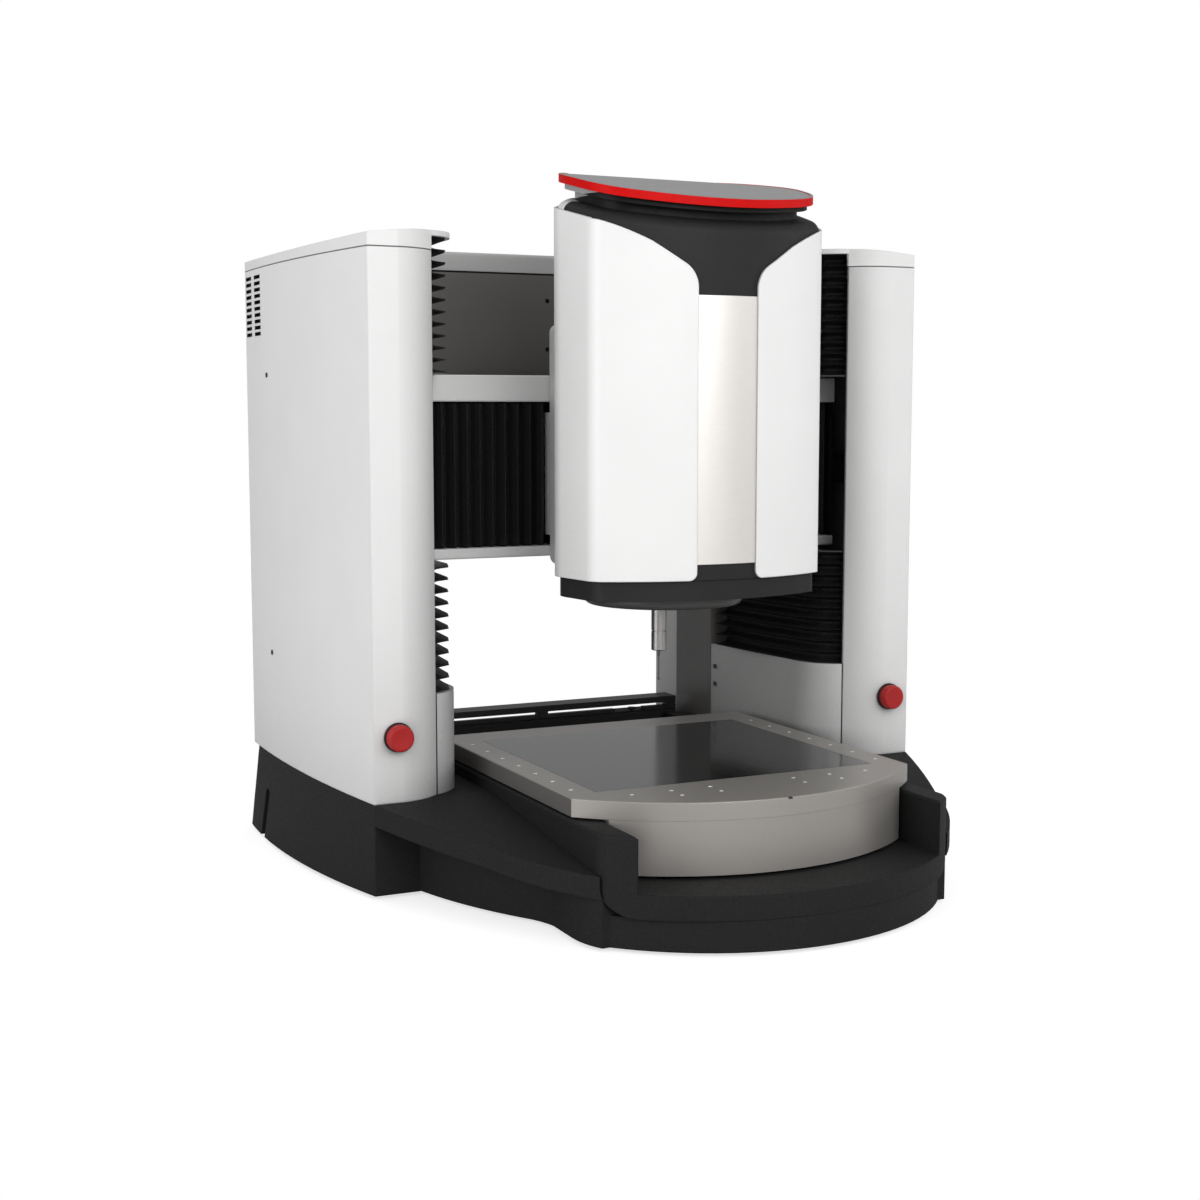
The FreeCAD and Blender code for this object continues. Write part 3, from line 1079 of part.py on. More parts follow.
def carriage_plate():
    plate = Piece("carriage_plate")
    plate.pad("XZ", [rectangle(-S.plate_half, S.plate_low, S.plate_half, S.plate_high)],
              S.plate_front, S.plate_back)
    plate.fillet(S.plate_round, lambda e: abs(e.Vertexes[0].Point.y - e.Vertexes[-1].Point.y) > 10
                 and e.Length < 30)
    plate.pad("XZ", [rectangle(-S.plate_half, S.boss_low, S.plate_half, S.boss_high)],
              S.plate_back, S.side_screw_y - S.screw_shaft_radius * 2)
    plate.pad("XZ", [rectangle(-S.plate_half * 0.5, S.side_screw_level - S.nut_radius,
                               S.plate_half * 0.5, S.side_screw_level + S.nut_radius)],
              S.side_screw_y - S.screw_shaft_radius * 2, S.side_screw_y + S.screw_shaft_radius * 1.7)
    plate.pocket("YZ", [("circle", S.side_screw_y, S.side_screw_level,
                         S.screw_shaft_radius + S.running_gap)], -S.plate_half, S.plate_half)
    at_head(plate.body)
    blocks = Piece("side_carriages")
    clear = S.carriage_clear
    front = S.side_screw_y - S.screw_shaft_radius * 2
    back = S.web_front - clear * 6
    slot = S.web_front - S.rail_height - clear
    outer, inner = S.carriage_width / 2, S.rail_width / 2 + clear
    for left in (-S.plate_half, S.plate_half - S.carriage_length):
        loops = []
        for level in (S.side_rail_low, S.side_rail_high):
            loops.append([(front, level - outer), (back, level - outer), (back, level - inner),
                          (slot, level - inner), (slot, level + inner), (back, level + inner),
                          (back, level + outer), (front, level + outer)])
        blocks.pad("YZ", loops, left, left + S.carriage_length)
    at_head(blocks.body)


# Head covers

def head_shell():
    """The black moulded shell: its shoulder runs up to the lid's neck and its floor carries the optics."""
    inset = S.head_cover_wall + S.head_skin_gap
    tall = S.lid_back_z
    outer = head_prism("shell_outer", inset, S.head_cover_low, tall)
    lowered = common("shell_lowered", outer, below_lid("shell_top", S.neck_drop))
    rounded = round_edges("shell_rounded", lowered, S.shoulder_round, is_shoulder)
    collar = head_prism("shell_collar", S.head_collar_inset, S.head_low, S.head_cover_low)
    inner = head_prism("shell_inner", S.head_collar_inset + S.head_shell_wall, S.head_low + S.head_floor, tall)
    hollow = common("shell_hollow", inner, below_lid("shell_ceiling", S.neck_drop + S.head_shell_wall * 2))
    shell = cut("shell_open", fuse("shell_whole", rounded, collar), hollow)
    disc = extrude("shell_floor_bore", "XY", [("circle", S.disc_x, -S.disc_y, S.floor_bore_radius)],
                   S.head_low - S.head_floor, S.head_low + S.head_floor)
    keep("head_shell", at_head(cut("head_shell_finished", shell, fuse("shell_cuts", disc, mount_slot("shell")))))


def mount_slot(name):
    """The opening at the back of the head that the mount of the optics goes through."""
    gap = S.running_gap
    return block(name + "_slot", (-S.mount_half - gap, S.head_waist_y, S.mount_low - gap),
                 (S.mount_half + gap, S.head_back + S.head_floor, S.mount_high + gap))


def is_shoulder(edge):
    """True for the edges round the top of the shell, apart from the one at the back."""
    heights = [v.Point.z for v in edge.Vertexes]
    backs = [v.Point.y for v in edge.Vertexes]
    if min(heights) < S.cover_side_z.value - 60 or upright(edge):
        return False
    return min(backs) < S.head_waist_y.value


def cover_window(name, side):
    """The front view of one white cover: a tall panel whose top edge sweeps up and outwards."""
    reach = S.head_wide_x * 1.1
    rise = (S.cover_edge_z - S.cover_mid_z) * 0.3
    return extrude(name, "XZ", [[
        (side * S.strip_half, S.head_cover_low), (side * reach, S.head_cover_low),
        (side * reach, S.cover_edge_z + rise), (side * S.cover_edge_x, S.cover_edge_z, S.cover_edge_round, -side),
        (side * S.cover_mid_x, S.cover_mid_z),
        (side * S.cover_shoulder_x, S.cover_shoulder_z, S.cover_shoulder_round, -side),
        (side * S.strip_half, S.cover_notch_high)]], -S.head_front - S.head_floor, -S.cover_flank_y)


def is_lower_corner(edge):
    """True for the short edges through the wall at a cover's lower corner beside the strip."""
    first, last = edge.Vertexes[0].Point, edge.Vertexes[-1].Point
    low = S.head_cover_low.value + 1
    return (abs(first.y - last.y) > 2 and edge.Length < 12 and first.z < low and last.z < low
            and abs(abs(first.x) - S.strip_half.value) < 1)


def head_covers():
    reach = S.head_wide_x * 1.1
    for name, side in SIDES:
        outer = head_prism(f"head_cover_{name}_outer", 0, S.head_cover_low, S.cover_back_z)
        inner = head_prism(f"head_cover_{name}_inner", S.head_cover_wall, S.head_cover_low, S.cover_back_z)
        shell = cut(f"head_cover_{name}_ring", outer, inner)
        window = cover_window(f"head_cover_{name}_window", side)
        left, right = side_span(side, S.strip_half, reach)
        flank = extrude(f"head_cover_{name}_flank", "YZ", [[
            (-S.cover_flank_y, S.head_cover_low), (S.cover_split, S.head_cover_low),
            (S.cover_split, S.cover_back_z), (-S.cover_side_y, S.cover_side_z),
            (-S.cover_flank_y, S.cover_edge_z + S.cover_flank_rise)]], left, right)
        cover = common(f"head_cover_{name}_cut", shell, fuse(f"head_cover_{name}_form", window, flank))
        cover = round_edges(f"head_cover_{name}_rounded", cover, S.cover_low_round, is_lower_corner)
        keep(f"head_cover_{name}", at_head(cover))
    outer = head_prism("rear_cover_outer", 0, S.head_cover_low, S.cover_back_z)
    inner = head_prism("rear_cover_inner", S.head_cover_wall, S.head_cover_low, S.cover_back_z)
    behind = block("rear_cover_span", (-reach, S.cover_split + S.cap_gap, S.head_cover_low),
                   (reach, S.head_back + S.head_floor, S.cover_back_z))
    rear = common("rear_cover_part", cut("rear_cover_ring", outer, inner), behind)
    keep("head_rear_cover", at_head(cut("rear_cover_finished", rear, mount_slot("rear_cover"))))


def head_strip():
    """The bowed metal strip between the covers."""
    inset = S.head_cover_wall + S.head_skin_gap
    outer = head_prism("strip_outer", inset - S.strip_thickness, S.strip_low, S.strip_high)
    inner = head_prism("strip_inner", inset, S.strip_low, S.strip_high)
    gap = S.running_gap
    window = block("strip_window", (-S.strip_half + gap, -S.head_front - S.head_floor, S.strip_low),
                   (S.strip_half - gap, -S.head_corner_y, S.strip_high))
    keep("head_strip", at_head(common("strip_finished", cut("strip_ring", outer, inner), window)))


def lid_plan(name, inset):
    """The lid's plan: the head's plan pulled in, closed square at the back."""
    plan = head_prism(name + "_plan", inset, S.head_cover_low, S.lid_back_z + S.head_floor,
                      S.lid_corner_round, S.lid_side_round)
    reach = S.head_wide_x * 1.1
    back = S.lid_back_y + S.lid_inset - inset
    span = block(name + "_span", (-reach, -S.shoulder_front_y, S.head_cover_low),
                 (reach, back, S.lid_back_z + S.head_floor))
    return common(name + "_trimmed", plan, span)


def lid():
    rim = cut("rim_ring", lid_plan("rim_outer", S.lid_inset), lid_plan("rim_bore", S.lid_inset + S.lid_rim_wall))
    keep("lid_rim", at_head(common("rim_finished", rim, lid_slab("rim_slab", 0, S.lid_rim_height))))
    panel = lid_plan("panel", S.lid_inset + S.lid_rim_wall + S.lid_gap)
    keep("lid_panel", at_head(common("panel_finished", panel,
                                     lid_slab("panel_slab", S.lid_panel_drop, S.lid_rim_height))))
    tray_low = S.lid_rim_height + S.lid_tray_height
    body = common("tray_body", lid_plan("tray", S.lid_tray_inset),
                  lid_slab("tray_slab", S.lid_rim_height, tray_low))
    stem = common("neck_body", lid_plan("neck", S.neck_inset), lid_slab("neck_slab", tray_low, S.neck_drop - S.lid_seat))
    keep("lid_tray", at_head(fuse("tray_finished", body, stem)))


# Optics

def optics():
    tube = Piece("optics_tube")
    tube.pad("XY", [("circle", 0, 0, S.tube_radius), ("circle", 0, 0, S.tube_radius - S.tube_wall)],
             S.tube_low, S.tube_high)
    tube.pad("XY", ring(S.barrel_radius, S.lens_radius + S.running_gap), S.barrel_low, S.tube_low)
    tube.pad("XY", [rectangle(-S.mount_half - S.lens_x, S.tube_radius - S.tube_wall / 2,
                              S.mount_half - S.lens_x, S.plate_front + S.lens_y)], S.mount_low, S.mount_high)
    tube.place(S.lens_x + S.head_home, -S.lens_y, 0)
    camera = Piece("camera_module")
    camera.pad("XY", [rectangle(-S.camera_half, -S.camera_half, S.camera_half, S.camera_half)],
               S.tube_high, S.tube_high + S.camera_height)
    camera.chamfer(S.rail_edge_radius, upright)
    camera.pad("XY", [("circle", 0, 0, S.camera_half * 0.5)], S.tube_high + S.camera_height,
               S.tube_high + S.camera_height + S.head_floor * 2)
    camera.place(S.lens_x + S.head_home, -S.lens_y, 0)
    housing = Piece("light_housing")
    span_x, span_y = S.lens_x - S.disc_x, S.disc_y - S.lens_y
    housing.pad("XY", [("circle", 0, 0, S.disc_radius), ("circle", span_x, span_y, S.tube_radius)],
                S.disc_low, S.head_low)
    housing.fillet(S.disc_round, lambda e: e.Vertexes[0].Point.z < S.disc_low.value + 1
                    and e.BoundBox.XLength > S.disc_radius.value * 1.5)
    housing.pocket("XY", [("circle", span_x, span_y, S.ring_radius)], S.disc_low, S.disc_low + S.ring_depth)
    housing.place(S.disc_x + S.head_home, -S.disc_y, 0)
    light = Piece("ring_light")
    light.pad("XY", ring(S.ring_radius, S.barrel_radius + S.running_gap),
              S.disc_low + 1, S.disc_low + S.ring_depth)
    light.place(S.lens_x + S.head_home, -S.lens_y, 0)
    lens = Piece("objective_lens")
    glass_low = S.disc_low + S.lens_recess
    glass_high = glass_low + S.lens_thickness
    lens.turn([(0, glass_low), (S.lens_radius - S.lens_recess, glass_low),
               (S.lens_radius, glass_low + S.lens_recess), (S.lens_radius, glass_high), (0, glass_high)])
    lens.place(S.lens_x + S.head_home, -S.lens_y, 0)


def probe():
    """The touch probe: a turned body on a collar, and a sprung stylus below it."""
    body = Piece("probe_body")
    radius, groove = S.probe_radius, S.probe_groove
    low, split = S.probe_module_low, S.probe_body_low
    collar = S.disc_low - S.probe_collar_height
    body.turn([(0, low + S.probe_recess), (S.probe_mouth_radius, low + S.probe_recess),
               (S.probe_mouth_radius, low), (radius - 1, low), (radius, low + 1),
               (radius, split), (radius - S.probe_groove_depth, split),
               (radius - S.probe_groove_depth, split + groove), (radius, split + groove),
               (radius, collar), (S.probe_collar_radius, collar + 2),
               (S.probe_collar_radius, S.disc_low), (0, S.disc_low)])
    body.place(S.probe_x + S.head_home, -S.probe_y, 0)
    socket = Piece("stylus_socket")
    ceiling = low + S.probe_recess - S.running_gap
    socket.turn([(0, low - 1), (S.stylus_socket_radius - 1, low - 1), (S.stylus_socket_radius, low),
                 (S.stylus_socket_radius, S.stylus_pivot), (S.stylus_pin_radius, S.stylus_pivot),
                 (S.stylus_pin_radius, ceiling), (0, ceiling)])
    socket.place(S.probe_x + S.head_home, -S.probe_y, 0)
    stylus = Piece("stylus")
    hub_top = low - 1 - S.stylus_clear
    hub_low = hub_top - S.stylus_hub_height
    ball = S.stylus_tip + S.ruby_radius
    dip = math.sqrt(S.ruby_radius.value ** 2 - S.stylus_radius.value ** 2)
    dip = Size(dip, "sqrt(sizes.ruby_radius ^ 2 - sizes.stylus_radius ^ 2)")
    stylus.turn([(0, S.stylus_tip, S.ruby_radius, -1), (S.stylus_radius, ball + dip),
                 (S.stylus_radius, hub_low), (S.stylus_hub_radius, hub_low + S.stylus_hub_radius),
                 (S.stylus_hub_radius, hub_top), (0, hub_top)])
    stylus.place(S.probe_x + S.head_home, -S.probe_y, 0)


# Stage

def stage_outline(half, corner, back, radius):
    return [(-half, -corner, radius, -1), (half, -corner), (half, back), (-half, back)]


def insert_places():
    """Threaded inserts: two rows along the front, one column along each side."""
    pitch = S.insert_pitch
    front = [(pitch * k + S.insert_offset * (1 if k > 0 else -1), -row) for k in (-3, -2, -1, 1, 2, 3)
             for row in (S.insert_row_near, S.insert_row_far)[:1 if abs(k) == 3 else 2]]
    sides = [(side * S.insert_side_x, -S.insert_side_y + pitch * k) for side in (-1, 1) for k in range(7)]
    back = [(pitch * k, S.stage_back - S.insert_pitch / 2) for k in (-3, -2, -1, 0, 1, 2, 3)]
    return front + sides + back


def stage():
    plate = Piece("stage_plate")
    plate.pad("XY", [stage_outline(S.stage_half, S.stage_corner, S.stage_back, S.stage_radius),
                     rectangle(-S.glass_half + S.glass_ledge, -S.glass_front + S.glass_ledge,
                               S.glass_half - S.glass_ledge, S.glass_back - S.glass_ledge)],
              S.stage_low, S.stage_high)
    plate.pocket("XY", [rectangle(-S.glass_half - S.glass_gap, -S.glass_front - S.glass_gap,
                                  S.glass_half + S.glass_gap, S.glass_back + S.glass_gap)],
                 S.stage_high - S.glass_thickness, S.stage_high)
    plate.pocket("XY", [("circle", x, y, S.insert_radius) for x, y in insert_places()],
                 S.stage_high - S.insert_depth, S.stage_high)
    top = S.stage_high.value - 0.1
    plate.chamfer(S.stage_edge, lambda e: min(v.Point.z for v in e.Vertexes) > top and e.Length > (S.glass_half.value + S.glass_ledge.value) * 2)
    glass = Piece("stage_glass")
    glass.pad("XY", [rectangle(-S.glass_half, -S.glass_front, S.glass_half, S.glass_back)],
              S.stage_high - S.glass_thickness, S.stage_high)
    inserts = Piece("stage_inserts")
    inserts.pad("XY", [("circle", x, y, S.insert_radius) for x, y in insert_places()],
                S.stage_high - S.insert_depth, S.stage_high - S.insert_sunk)


def apron():
    """The bowed front skirt that hangs from the stage plate, with a return at each end."""
    inset = S.apron_inset
    half, radius = S.apron_half, S.stage_radius
    drop = radius.value - math.sqrt(radius.value ** 2 - half.value ** 2)
    text = "(sizes.stage_radius - sqrt(sizes.stage_radius ^ 2 - sizes.apron_half ^ 2))"
    edge = S.stage_front - inset - Size(drop, text)
    skirt = Piece("stage_apron")
    skirt.pad("XY", [[(-half, -edge, radius, -1), (half, -edge), (half, -edge + S.apron_return),
                      (half - S.apron_wall, -edge + S.apron_return),
                      (half - S.apron_wall, -edge + S.apron_wall, radius - S.apron_wall, 1),
                      (-half + S.apron_wall, -edge + S.apron_wall),
                      (-half + S.apron_wall, -edge + S.apron_return), (-half, -edge + S.apron_return)]],
              S.apron_low, S.stage_low)


def saddle():
    frame = Piece("stage_saddle")
    light = S.glass_ledge + S.saddle_rib
    frame.pad("XY", [rectangle(-S.saddle_half, -S.saddle_front, S.saddle_half, S.saddle_back),
                     rectangle(-S.glass_half + light, -S.glass_front + light, S.glass_half - light,
                               S.glass_back - light)], S.saddle_low + S.saddle_rib, S.stage_low)
    frame.pad("XY", [rectangle(-S.saddle_half, -S.saddle_front, S.saddle_half, S.saddle_back)],
              S.saddle_low, S.saddle_low + S.saddle_rib)
    low = S.stage_screw_level
    frame.pad("XZ", [rectangle(-S.stage_nut_radius, S.groove_low + 2, S.stage_nut_radius, S.saddle_low)],
              -S.stage_nut_reach, S.stage_nut_reach / 4)
    frame.pocket("XZ", [("circle", 0, low, S.stage_shaft_radius + S.running_gap)],
                 -S.saddle_front, S.saddle_back)
    blocks = Piece("stage_carriages")
    clear = S.carriage_clear
    top, bottom = S.saddle_low, S.groove_low + clear * 6
    slot = S.groove_low + S.rail_height + clear
    outer, inner = S.carriage_width / 2, S.rail_width / 2 + clear
    middle = (S.stage_rail_back - S.stage_rail_front) / 2
    for centre_y in (middle - S.stage_carriage_y, middle + S.stage_carriage_y):
        loops = []
        for side in (-1, 1):
            centre = side * S.stage_rail_x
            loops.append([(centre - outer, bottom), (centre - inner, bottom), (centre - inner, slot),
                          (centre + inner, slot), (centre + inner, bottom), (centre + outer, bottom),
                          (centre + outer, top), (centre - outer, top)])
        blocks.pad("XZ", loops, centre_y - S.carriage_length / 2, centre_y + S.carriage_length / 2)
    screw = Piece("stage_screw")
    screw.pad("XZ", [("circle", 0, low, S.stage_shaft_radius)], -S.stage_screw_front, S.stage_screw_back)


# Emergency stops and mains inlet

def emergency_stops():
    bodies = Piece("emergency_stop_bodies")
    face = -S.front_flat_y
    places = [(side * S.stop_x, S.stop_level) for side in (-1, 1)]
    flange = [("circle", x, z, S.stop_bezel_radius) for x, z in places]
    bore = [("circle", x, z, S.stop_bore) for x, z in places]
    neck = [("circle", x, z, S.stop_bezel_radius - S.cover_wall - S.fit_gap) for x, z in places]
    half = S.stop_block_half
    boxes = [rectangle(x - half, z - half, x + half, z + half) for x, z in places]
    bodies.pad("XZ", flange, face - S.stop_bezel_proud, face)
    behind = face + S.cover_wall + S.stop_block_gap
    bodies.pad("XZ", neck, face, behind)
    bodies.pad("XZ", boxes, behind, behind + S.stop_block_depth)
    bodies.pocket("XZ", bore, face - S.stop_bezel_proud, face + S.stop_stem_reach + S.stop_cap_gap)
    for name, side in SIDES:
        cap = Piece(f"stop_cap_{name}")
        x, z = side * S.stop_x, S.stop_level
        back = face - S.stop_bezel_proud - S.stop_cap_gap
        cap.pad("XZ", [("circle", x, z, S.stop_cap_radius)], back - S.stop_cap_depth, back)
        cap.chamfer(S.rail_edge_radius, lambda e: e.BoundBox.YMin < back.value - S.stop_cap_depth.value + 0.1)
        cap.pad("XZ", [("circle", x, z, S.stop_stem_radius)], back, face + S.stop_stem_reach)


def power_inlet():
    inlet = Piece("power_inlet")
    x, z = S.inlet_x, S.inlet_level
    half, tall, wall = S.inlet_half_width, S.inlet_half_height, S.inlet_cavity_wall
    inlet.pad("XZ", [rectangle(x - half, z - tall, x + half, z + tall)],
              S.rear_face - S.inlet_depth, S.rear_face - S.inlet_flange_depth)
    inlet.pocket("XZ", [rectangle(x - half + wall, z - tall + wall, x + half - wall, z + tall - wall)],
                 S.rear_face - S.inlet_depth + wall, S.rear_face)


base_casting()
leveling_feet()
front_surround()
rear_rails()
portal()
for column_name, column_side in SIDES:
    column_cover(column_name, column_side)
column_caps()
boot_covers()
cover_screws()
vent_mesh()
column_bellows()
bellows_frames()
side_bellows()
upright_guides()
screw_bearings()
for column_name, column_side in SIDES:
    upright_screw(column_name, column_side)
drive_motors()
beam()
upright_carriages()
upright_nuts()
side_guides()
carriage_plate()
head_shell()
head_covers()
head_strip()
lid()
optics()
probe()
stage()
apron()
saddle()
emergency_stops()
power_inlet()
doc.recompute()
for item in doc.Objects:
    if "Invalid" in item.State or "Error" in item.State or not item.isValid():
        raise RuntimeError(f"{item.Name} did not compute: {item.getStatusString()}")
os.makedirs("parts", exist_ok=True)
for label, target in nodes.items():
    shape = target.Shape
    if shape.isNull() or not shape.isValid() or not shape.Solids:
        raise RuntimeError(f"{label} has no sound solid")
for label, target in nodes.items():
    target.Shape.exportStep(os.path.join("parts", label + ".step"))
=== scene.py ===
import bpy
import json
import math
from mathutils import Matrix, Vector


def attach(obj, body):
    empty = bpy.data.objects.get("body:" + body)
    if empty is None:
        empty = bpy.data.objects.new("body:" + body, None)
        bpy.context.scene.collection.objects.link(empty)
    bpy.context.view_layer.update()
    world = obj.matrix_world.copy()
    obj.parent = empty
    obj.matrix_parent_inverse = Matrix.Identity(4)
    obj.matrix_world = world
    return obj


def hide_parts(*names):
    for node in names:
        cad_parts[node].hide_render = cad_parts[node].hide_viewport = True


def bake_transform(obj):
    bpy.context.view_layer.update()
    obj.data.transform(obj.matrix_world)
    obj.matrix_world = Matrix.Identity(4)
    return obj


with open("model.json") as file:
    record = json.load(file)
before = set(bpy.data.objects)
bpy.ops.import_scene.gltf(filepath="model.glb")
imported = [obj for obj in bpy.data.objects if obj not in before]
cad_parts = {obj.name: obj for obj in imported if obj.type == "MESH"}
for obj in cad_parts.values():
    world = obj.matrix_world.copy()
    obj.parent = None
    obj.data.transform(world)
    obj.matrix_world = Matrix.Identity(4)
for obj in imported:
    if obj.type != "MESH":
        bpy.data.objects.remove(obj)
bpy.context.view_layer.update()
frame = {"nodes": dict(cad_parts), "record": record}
NODES = frame["nodes"]


def box_of(node):
    """The node's low and high corner in millimetres."""
    corners = [Vector(c) * 1000 for c in NODES[node].bound_box]
    return [min(c[k] for c in corners) for k in range(3)], [max(c[k] for c in corners) for k in range(3)]


# Materials: every finish is a node tree of its own

class Finish:
    """Builds one principled material step by step."""

    def __init__(self, name, color, rough=0.5, metal=0.0):
        self.mat = bpy.data.materials.new(name)
        self.mat.use_nodes = True
        self.tree = self.mat.node_tree
        self.bsdf = self.tree.nodes["Principled BSDF"]
        self.color = color
        self.rough = rough
        self.bsdf.inputs["Base Color"].default_value = (*color, 1)
        self.bsdf.inputs["Roughness"].default_value = rough
        self.bsdf.inputs["Metallic"].default_value = metal
        self.coords = self.node("ShaderNodeTexCoord").outputs["Object"]
        self.normal = None

    def node(self, kind, **inputs):
        """A node of this kind, with the values of its inputs."""
        made = self.tree.nodes.new(kind)
        for key, value in inputs.items():
            made.inputs[key.replace("_", " ")].default_value = value
        return made

    def link(self, a, b):
        self.tree.links.new(a, b)

    def noise(self, scale, detail=3.0, stretch=(1, 1, 1), rough=0.55):
        """A noise pattern over the object's own places."""
        mapping = self.node("ShaderNodeMapping", Scale=stretch)
        self.link(self.coords, mapping.inputs["Vector"])
        made = self.node("ShaderNodeTexNoise", Scale=scale, Detail=detail, Roughness=rough)
        self.link(mapping.outputs["Vector"], made.inputs["Vector"])
        return made.outputs["Fac"]

    def span(self, factor, low, high, start=0.3, end=0.7):
        """Maps a factor between start and end to values between low and high."""
        made = self.node("ShaderNodeMapRange")
        for key, value in (("From Min", start), ("From Max", end), ("To Min", low), ("To Max", high)):
            made.inputs[key].default_value = value
        self.link(factor, made.inputs["Value"])
        return made.outputs["Result"]

    def tint(self, factor, spread, start=0.3, end=0.7):
        """Shifts the base colour a little lighter and darker with a pattern."""
        base = self.bsdf.inputs["Base Color"]
        mix = self.node("ShaderNodeMix")
        mix.data_type = "RGBA"
        low = [max(0, c * (1 - spread)) for c in self.color]
        high = [min(1, c * (1 + spread)) for c in self.color]
        sockets = [s for s in mix.inputs if s.type == "RGBA"]
        sockets[0].default_value = (*low, 1)
        sockets[1].default_value = (*high, 1)
        self.link(self.span(factor, 0, 1, start, end), mix.inputs["Factor"])
        self.link([s for s in mix.outputs if s.type == "RGBA"][0], base)
        return self

    def roughen(self, factor, spread, start=0.3, end=0.7):
        """Varies the roughness a little with a pattern."""
        self.link(self.span(factor, max(0.02, self.rough - spread), self.rough + spread, start, end),
                  self.bsdf.inputs["Roughness"])
        return self

    def calc(self, kind, a, b=0):
        """One arithmetic node; each value is a number or a socket."""
        made = self.node("ShaderNodeMath")
        made.operation = kind
        for socket, value in zip(made.inputs, (a, b)):
            if isinstance(value, (int, float)):
                socket.default_value = value
            else:
                self.link(value, socket)
        return made.outputs[0]

    def place(self, axis):
        """The object's own X, Y or Z in metres."""
        split = self.node("ShaderNodeSeparateXYZ")
        self.link(self.coords, split.inputs[0])
        return split.outputs[axis]

    def faces_up(self):
        """1 where the surface looks up, else 0."""
        geometry = self.node("ShaderNodeNewGeometry")
        split = self.node("ShaderNodeSeparateXYZ")
        self.link(geometry.outputs["Normal"], split.inputs[0])
        return self.calc("GREATER_THAN", split.outputs["Z"], 0.6)

    def shade_hollows(self, reach, low, start=0.25, end=0.85):
        """Painted shade: darkens the paint in deep gaps, by ambient occlusion, down to the share low of its
        colour.
        """
        hollow = self.node("ShaderNodeAmbientOcclusion", Distance=reach)
        hollow.samples = 6
        factor = self.span(hollow.outputs["AO"], low, 1, start, end)
        socket = self.bsdf.inputs["Base Color"]
        mix = self.node("ShaderNodeVectorMath")
        mix.operation = "SCALE"
        if socket.links:
            self.link(socket.links[0].from_socket, mix.inputs[0])
        else:
            mix.inputs[0].default_value = socket.default_value[:3]
        self.link(factor, mix.inputs["Scale"])
        self.link(mix.outputs["Vector"], socket)
        return self

    def facing(self, axis):
        """How far the surface looks along X, Y or Z, either way."""
        geometry = self.node("ShaderNodeNewGeometry")
        split = self.node("ShaderNodeSeparateXYZ")
        self.link(geometry.outputs["True Normal"], split.inputs[0])
        return self.calc("ABSOLUTE", split.outputs[axis])

    def within(self, axis, low, high):
        """1 between two levels of X, Y or Z, else 0."""
        here = self.place(axis)
        return self.calc("MULTIPLY", self.calc("GREATER_THAN", here, low), self.calc("LESS_THAN", here, high))

    def near(self, places, radius):
        """1 within a distance, in plan, of any of the places, else 0."""
        flat = self.node("ShaderNodeVectorMath")
        flat.operation = "MULTIPLY"
        self.link(self.coords, flat.inputs[0])
        flat.inputs[1].default_value = (1, 1, 0)
        least = None
        for x, y in places:
            reach = self.node("ShaderNodeVectorMath")
            reach.operation = "DISTANCE"
            self.link(flat.outputs["Vector"], reach.inputs[0])
            reach.inputs[1].default_value = (x, y, 0)
            value = reach.outputs["Value"]
            least = value if least is None else self.calc("MINIMUM", least, value)
        return self.calc("LESS_THAN", least, radius)

    def patch(self, mask, color, rough=None, metal=None):
        """Another colour, and roughness and metal if given, where the mask is 1."""
        for name, value in (("Base Color", (*color, 1)), ("Roughness", rough), ("Metallic", metal)):
            socket = self.bsdf.inputs[name]
            if value is None:
                continue
            mix = self.node("ShaderNodeMix")
            mix.data_type = "RGBA" if name == "Base Color" else "FLOAT"
            kind = "RGBA" if name == "Base Color" else "VALUE"
            a, b = [v for v in mix.inputs if v.type == kind and v.name in ("A", "B")]
            if socket.links:
                self.link(socket.links[0].from_socket, a)
            else:
                a.default_value = socket.default_value
            b.default_value = value
            self.link(mask, mix.inputs["Factor"])
            self.link([v for v in mix.outputs if v.type == kind][0], socket)
        return self

    def relief(self, factor, depth, strength=0.4):
        """Adds a fine relief, depth in metres."""
        bump = self.node("ShaderNodeBump", Strength=strength, Distance=depth)
        self.link(factor, bump.inputs["Height"])
        if self.normal is not None:
            self.link(self.normal, bump.inputs["Normal"])
        self.normal = bump.outputs["Normal"]
        return self

    def soften(self, radius=0.0012):
        """Rounds sharp edges in the shading, radius in metres."""
        bevel = self.node("ShaderNodeBevel", Radius=radius)
        bevel.samples = 4
        self.normal = bevel.outputs["Normal"]
        return self

    def set(self, **values):
        """Sets other inputs of the shader to constants."""
        for key, value in values.items():
            self.bsdf.inputs[key.replace("_", " ")].default_value = value
        return self

    def done(self):
        """The finished material."""
        if self.normal is not None:
            self.link(self.normal, self.bsdf.inputs["Normal"])
        return self.mat


def powder_coat(name, color, rough=0.42, grain=0.00003, edge=0.0015):
    """Satin powder coat: a very fine orange peel and a faint cloudiness."""
    f = Finish(name, color, rough).soften(edge)
    f.tint(f.noise(9, 2), 0.012)
    f.roughen(f.noise(60, 3), 0.04)
    return f.relief(f.noise(900, 2), grain, 0.25).set(IOR=1.48)


def cast_paint(name, color, rough=0.66):
    """Textured black paint on a casting."""
    f = Finish(name, color, rough).soften(0.003)
    f.tint(f.noise(260, 4), 0.22)
    f.roughen(f.noise(420, 3), 0.10)
    return f.relief(f.noise(1100, 4), 0.00025, 0.3).set(Specular_IOR_Level=0.22)


def plastic(name, color, rough=0.5, shine=0.5, peel=0.00001, edge=0.001):
    """Moulded plastic or smooth lacquer."""
    f = Finish(name, color, rough).soften(edge)
    f.tint(f.noise(30, 3), 0.05)
    f.roughen(f.noise(140, 4), 0.05)
    f.relief(f.noise(1500, 2), peel, 0.3)
    return f.set(Specular_IOR_Level=shine)


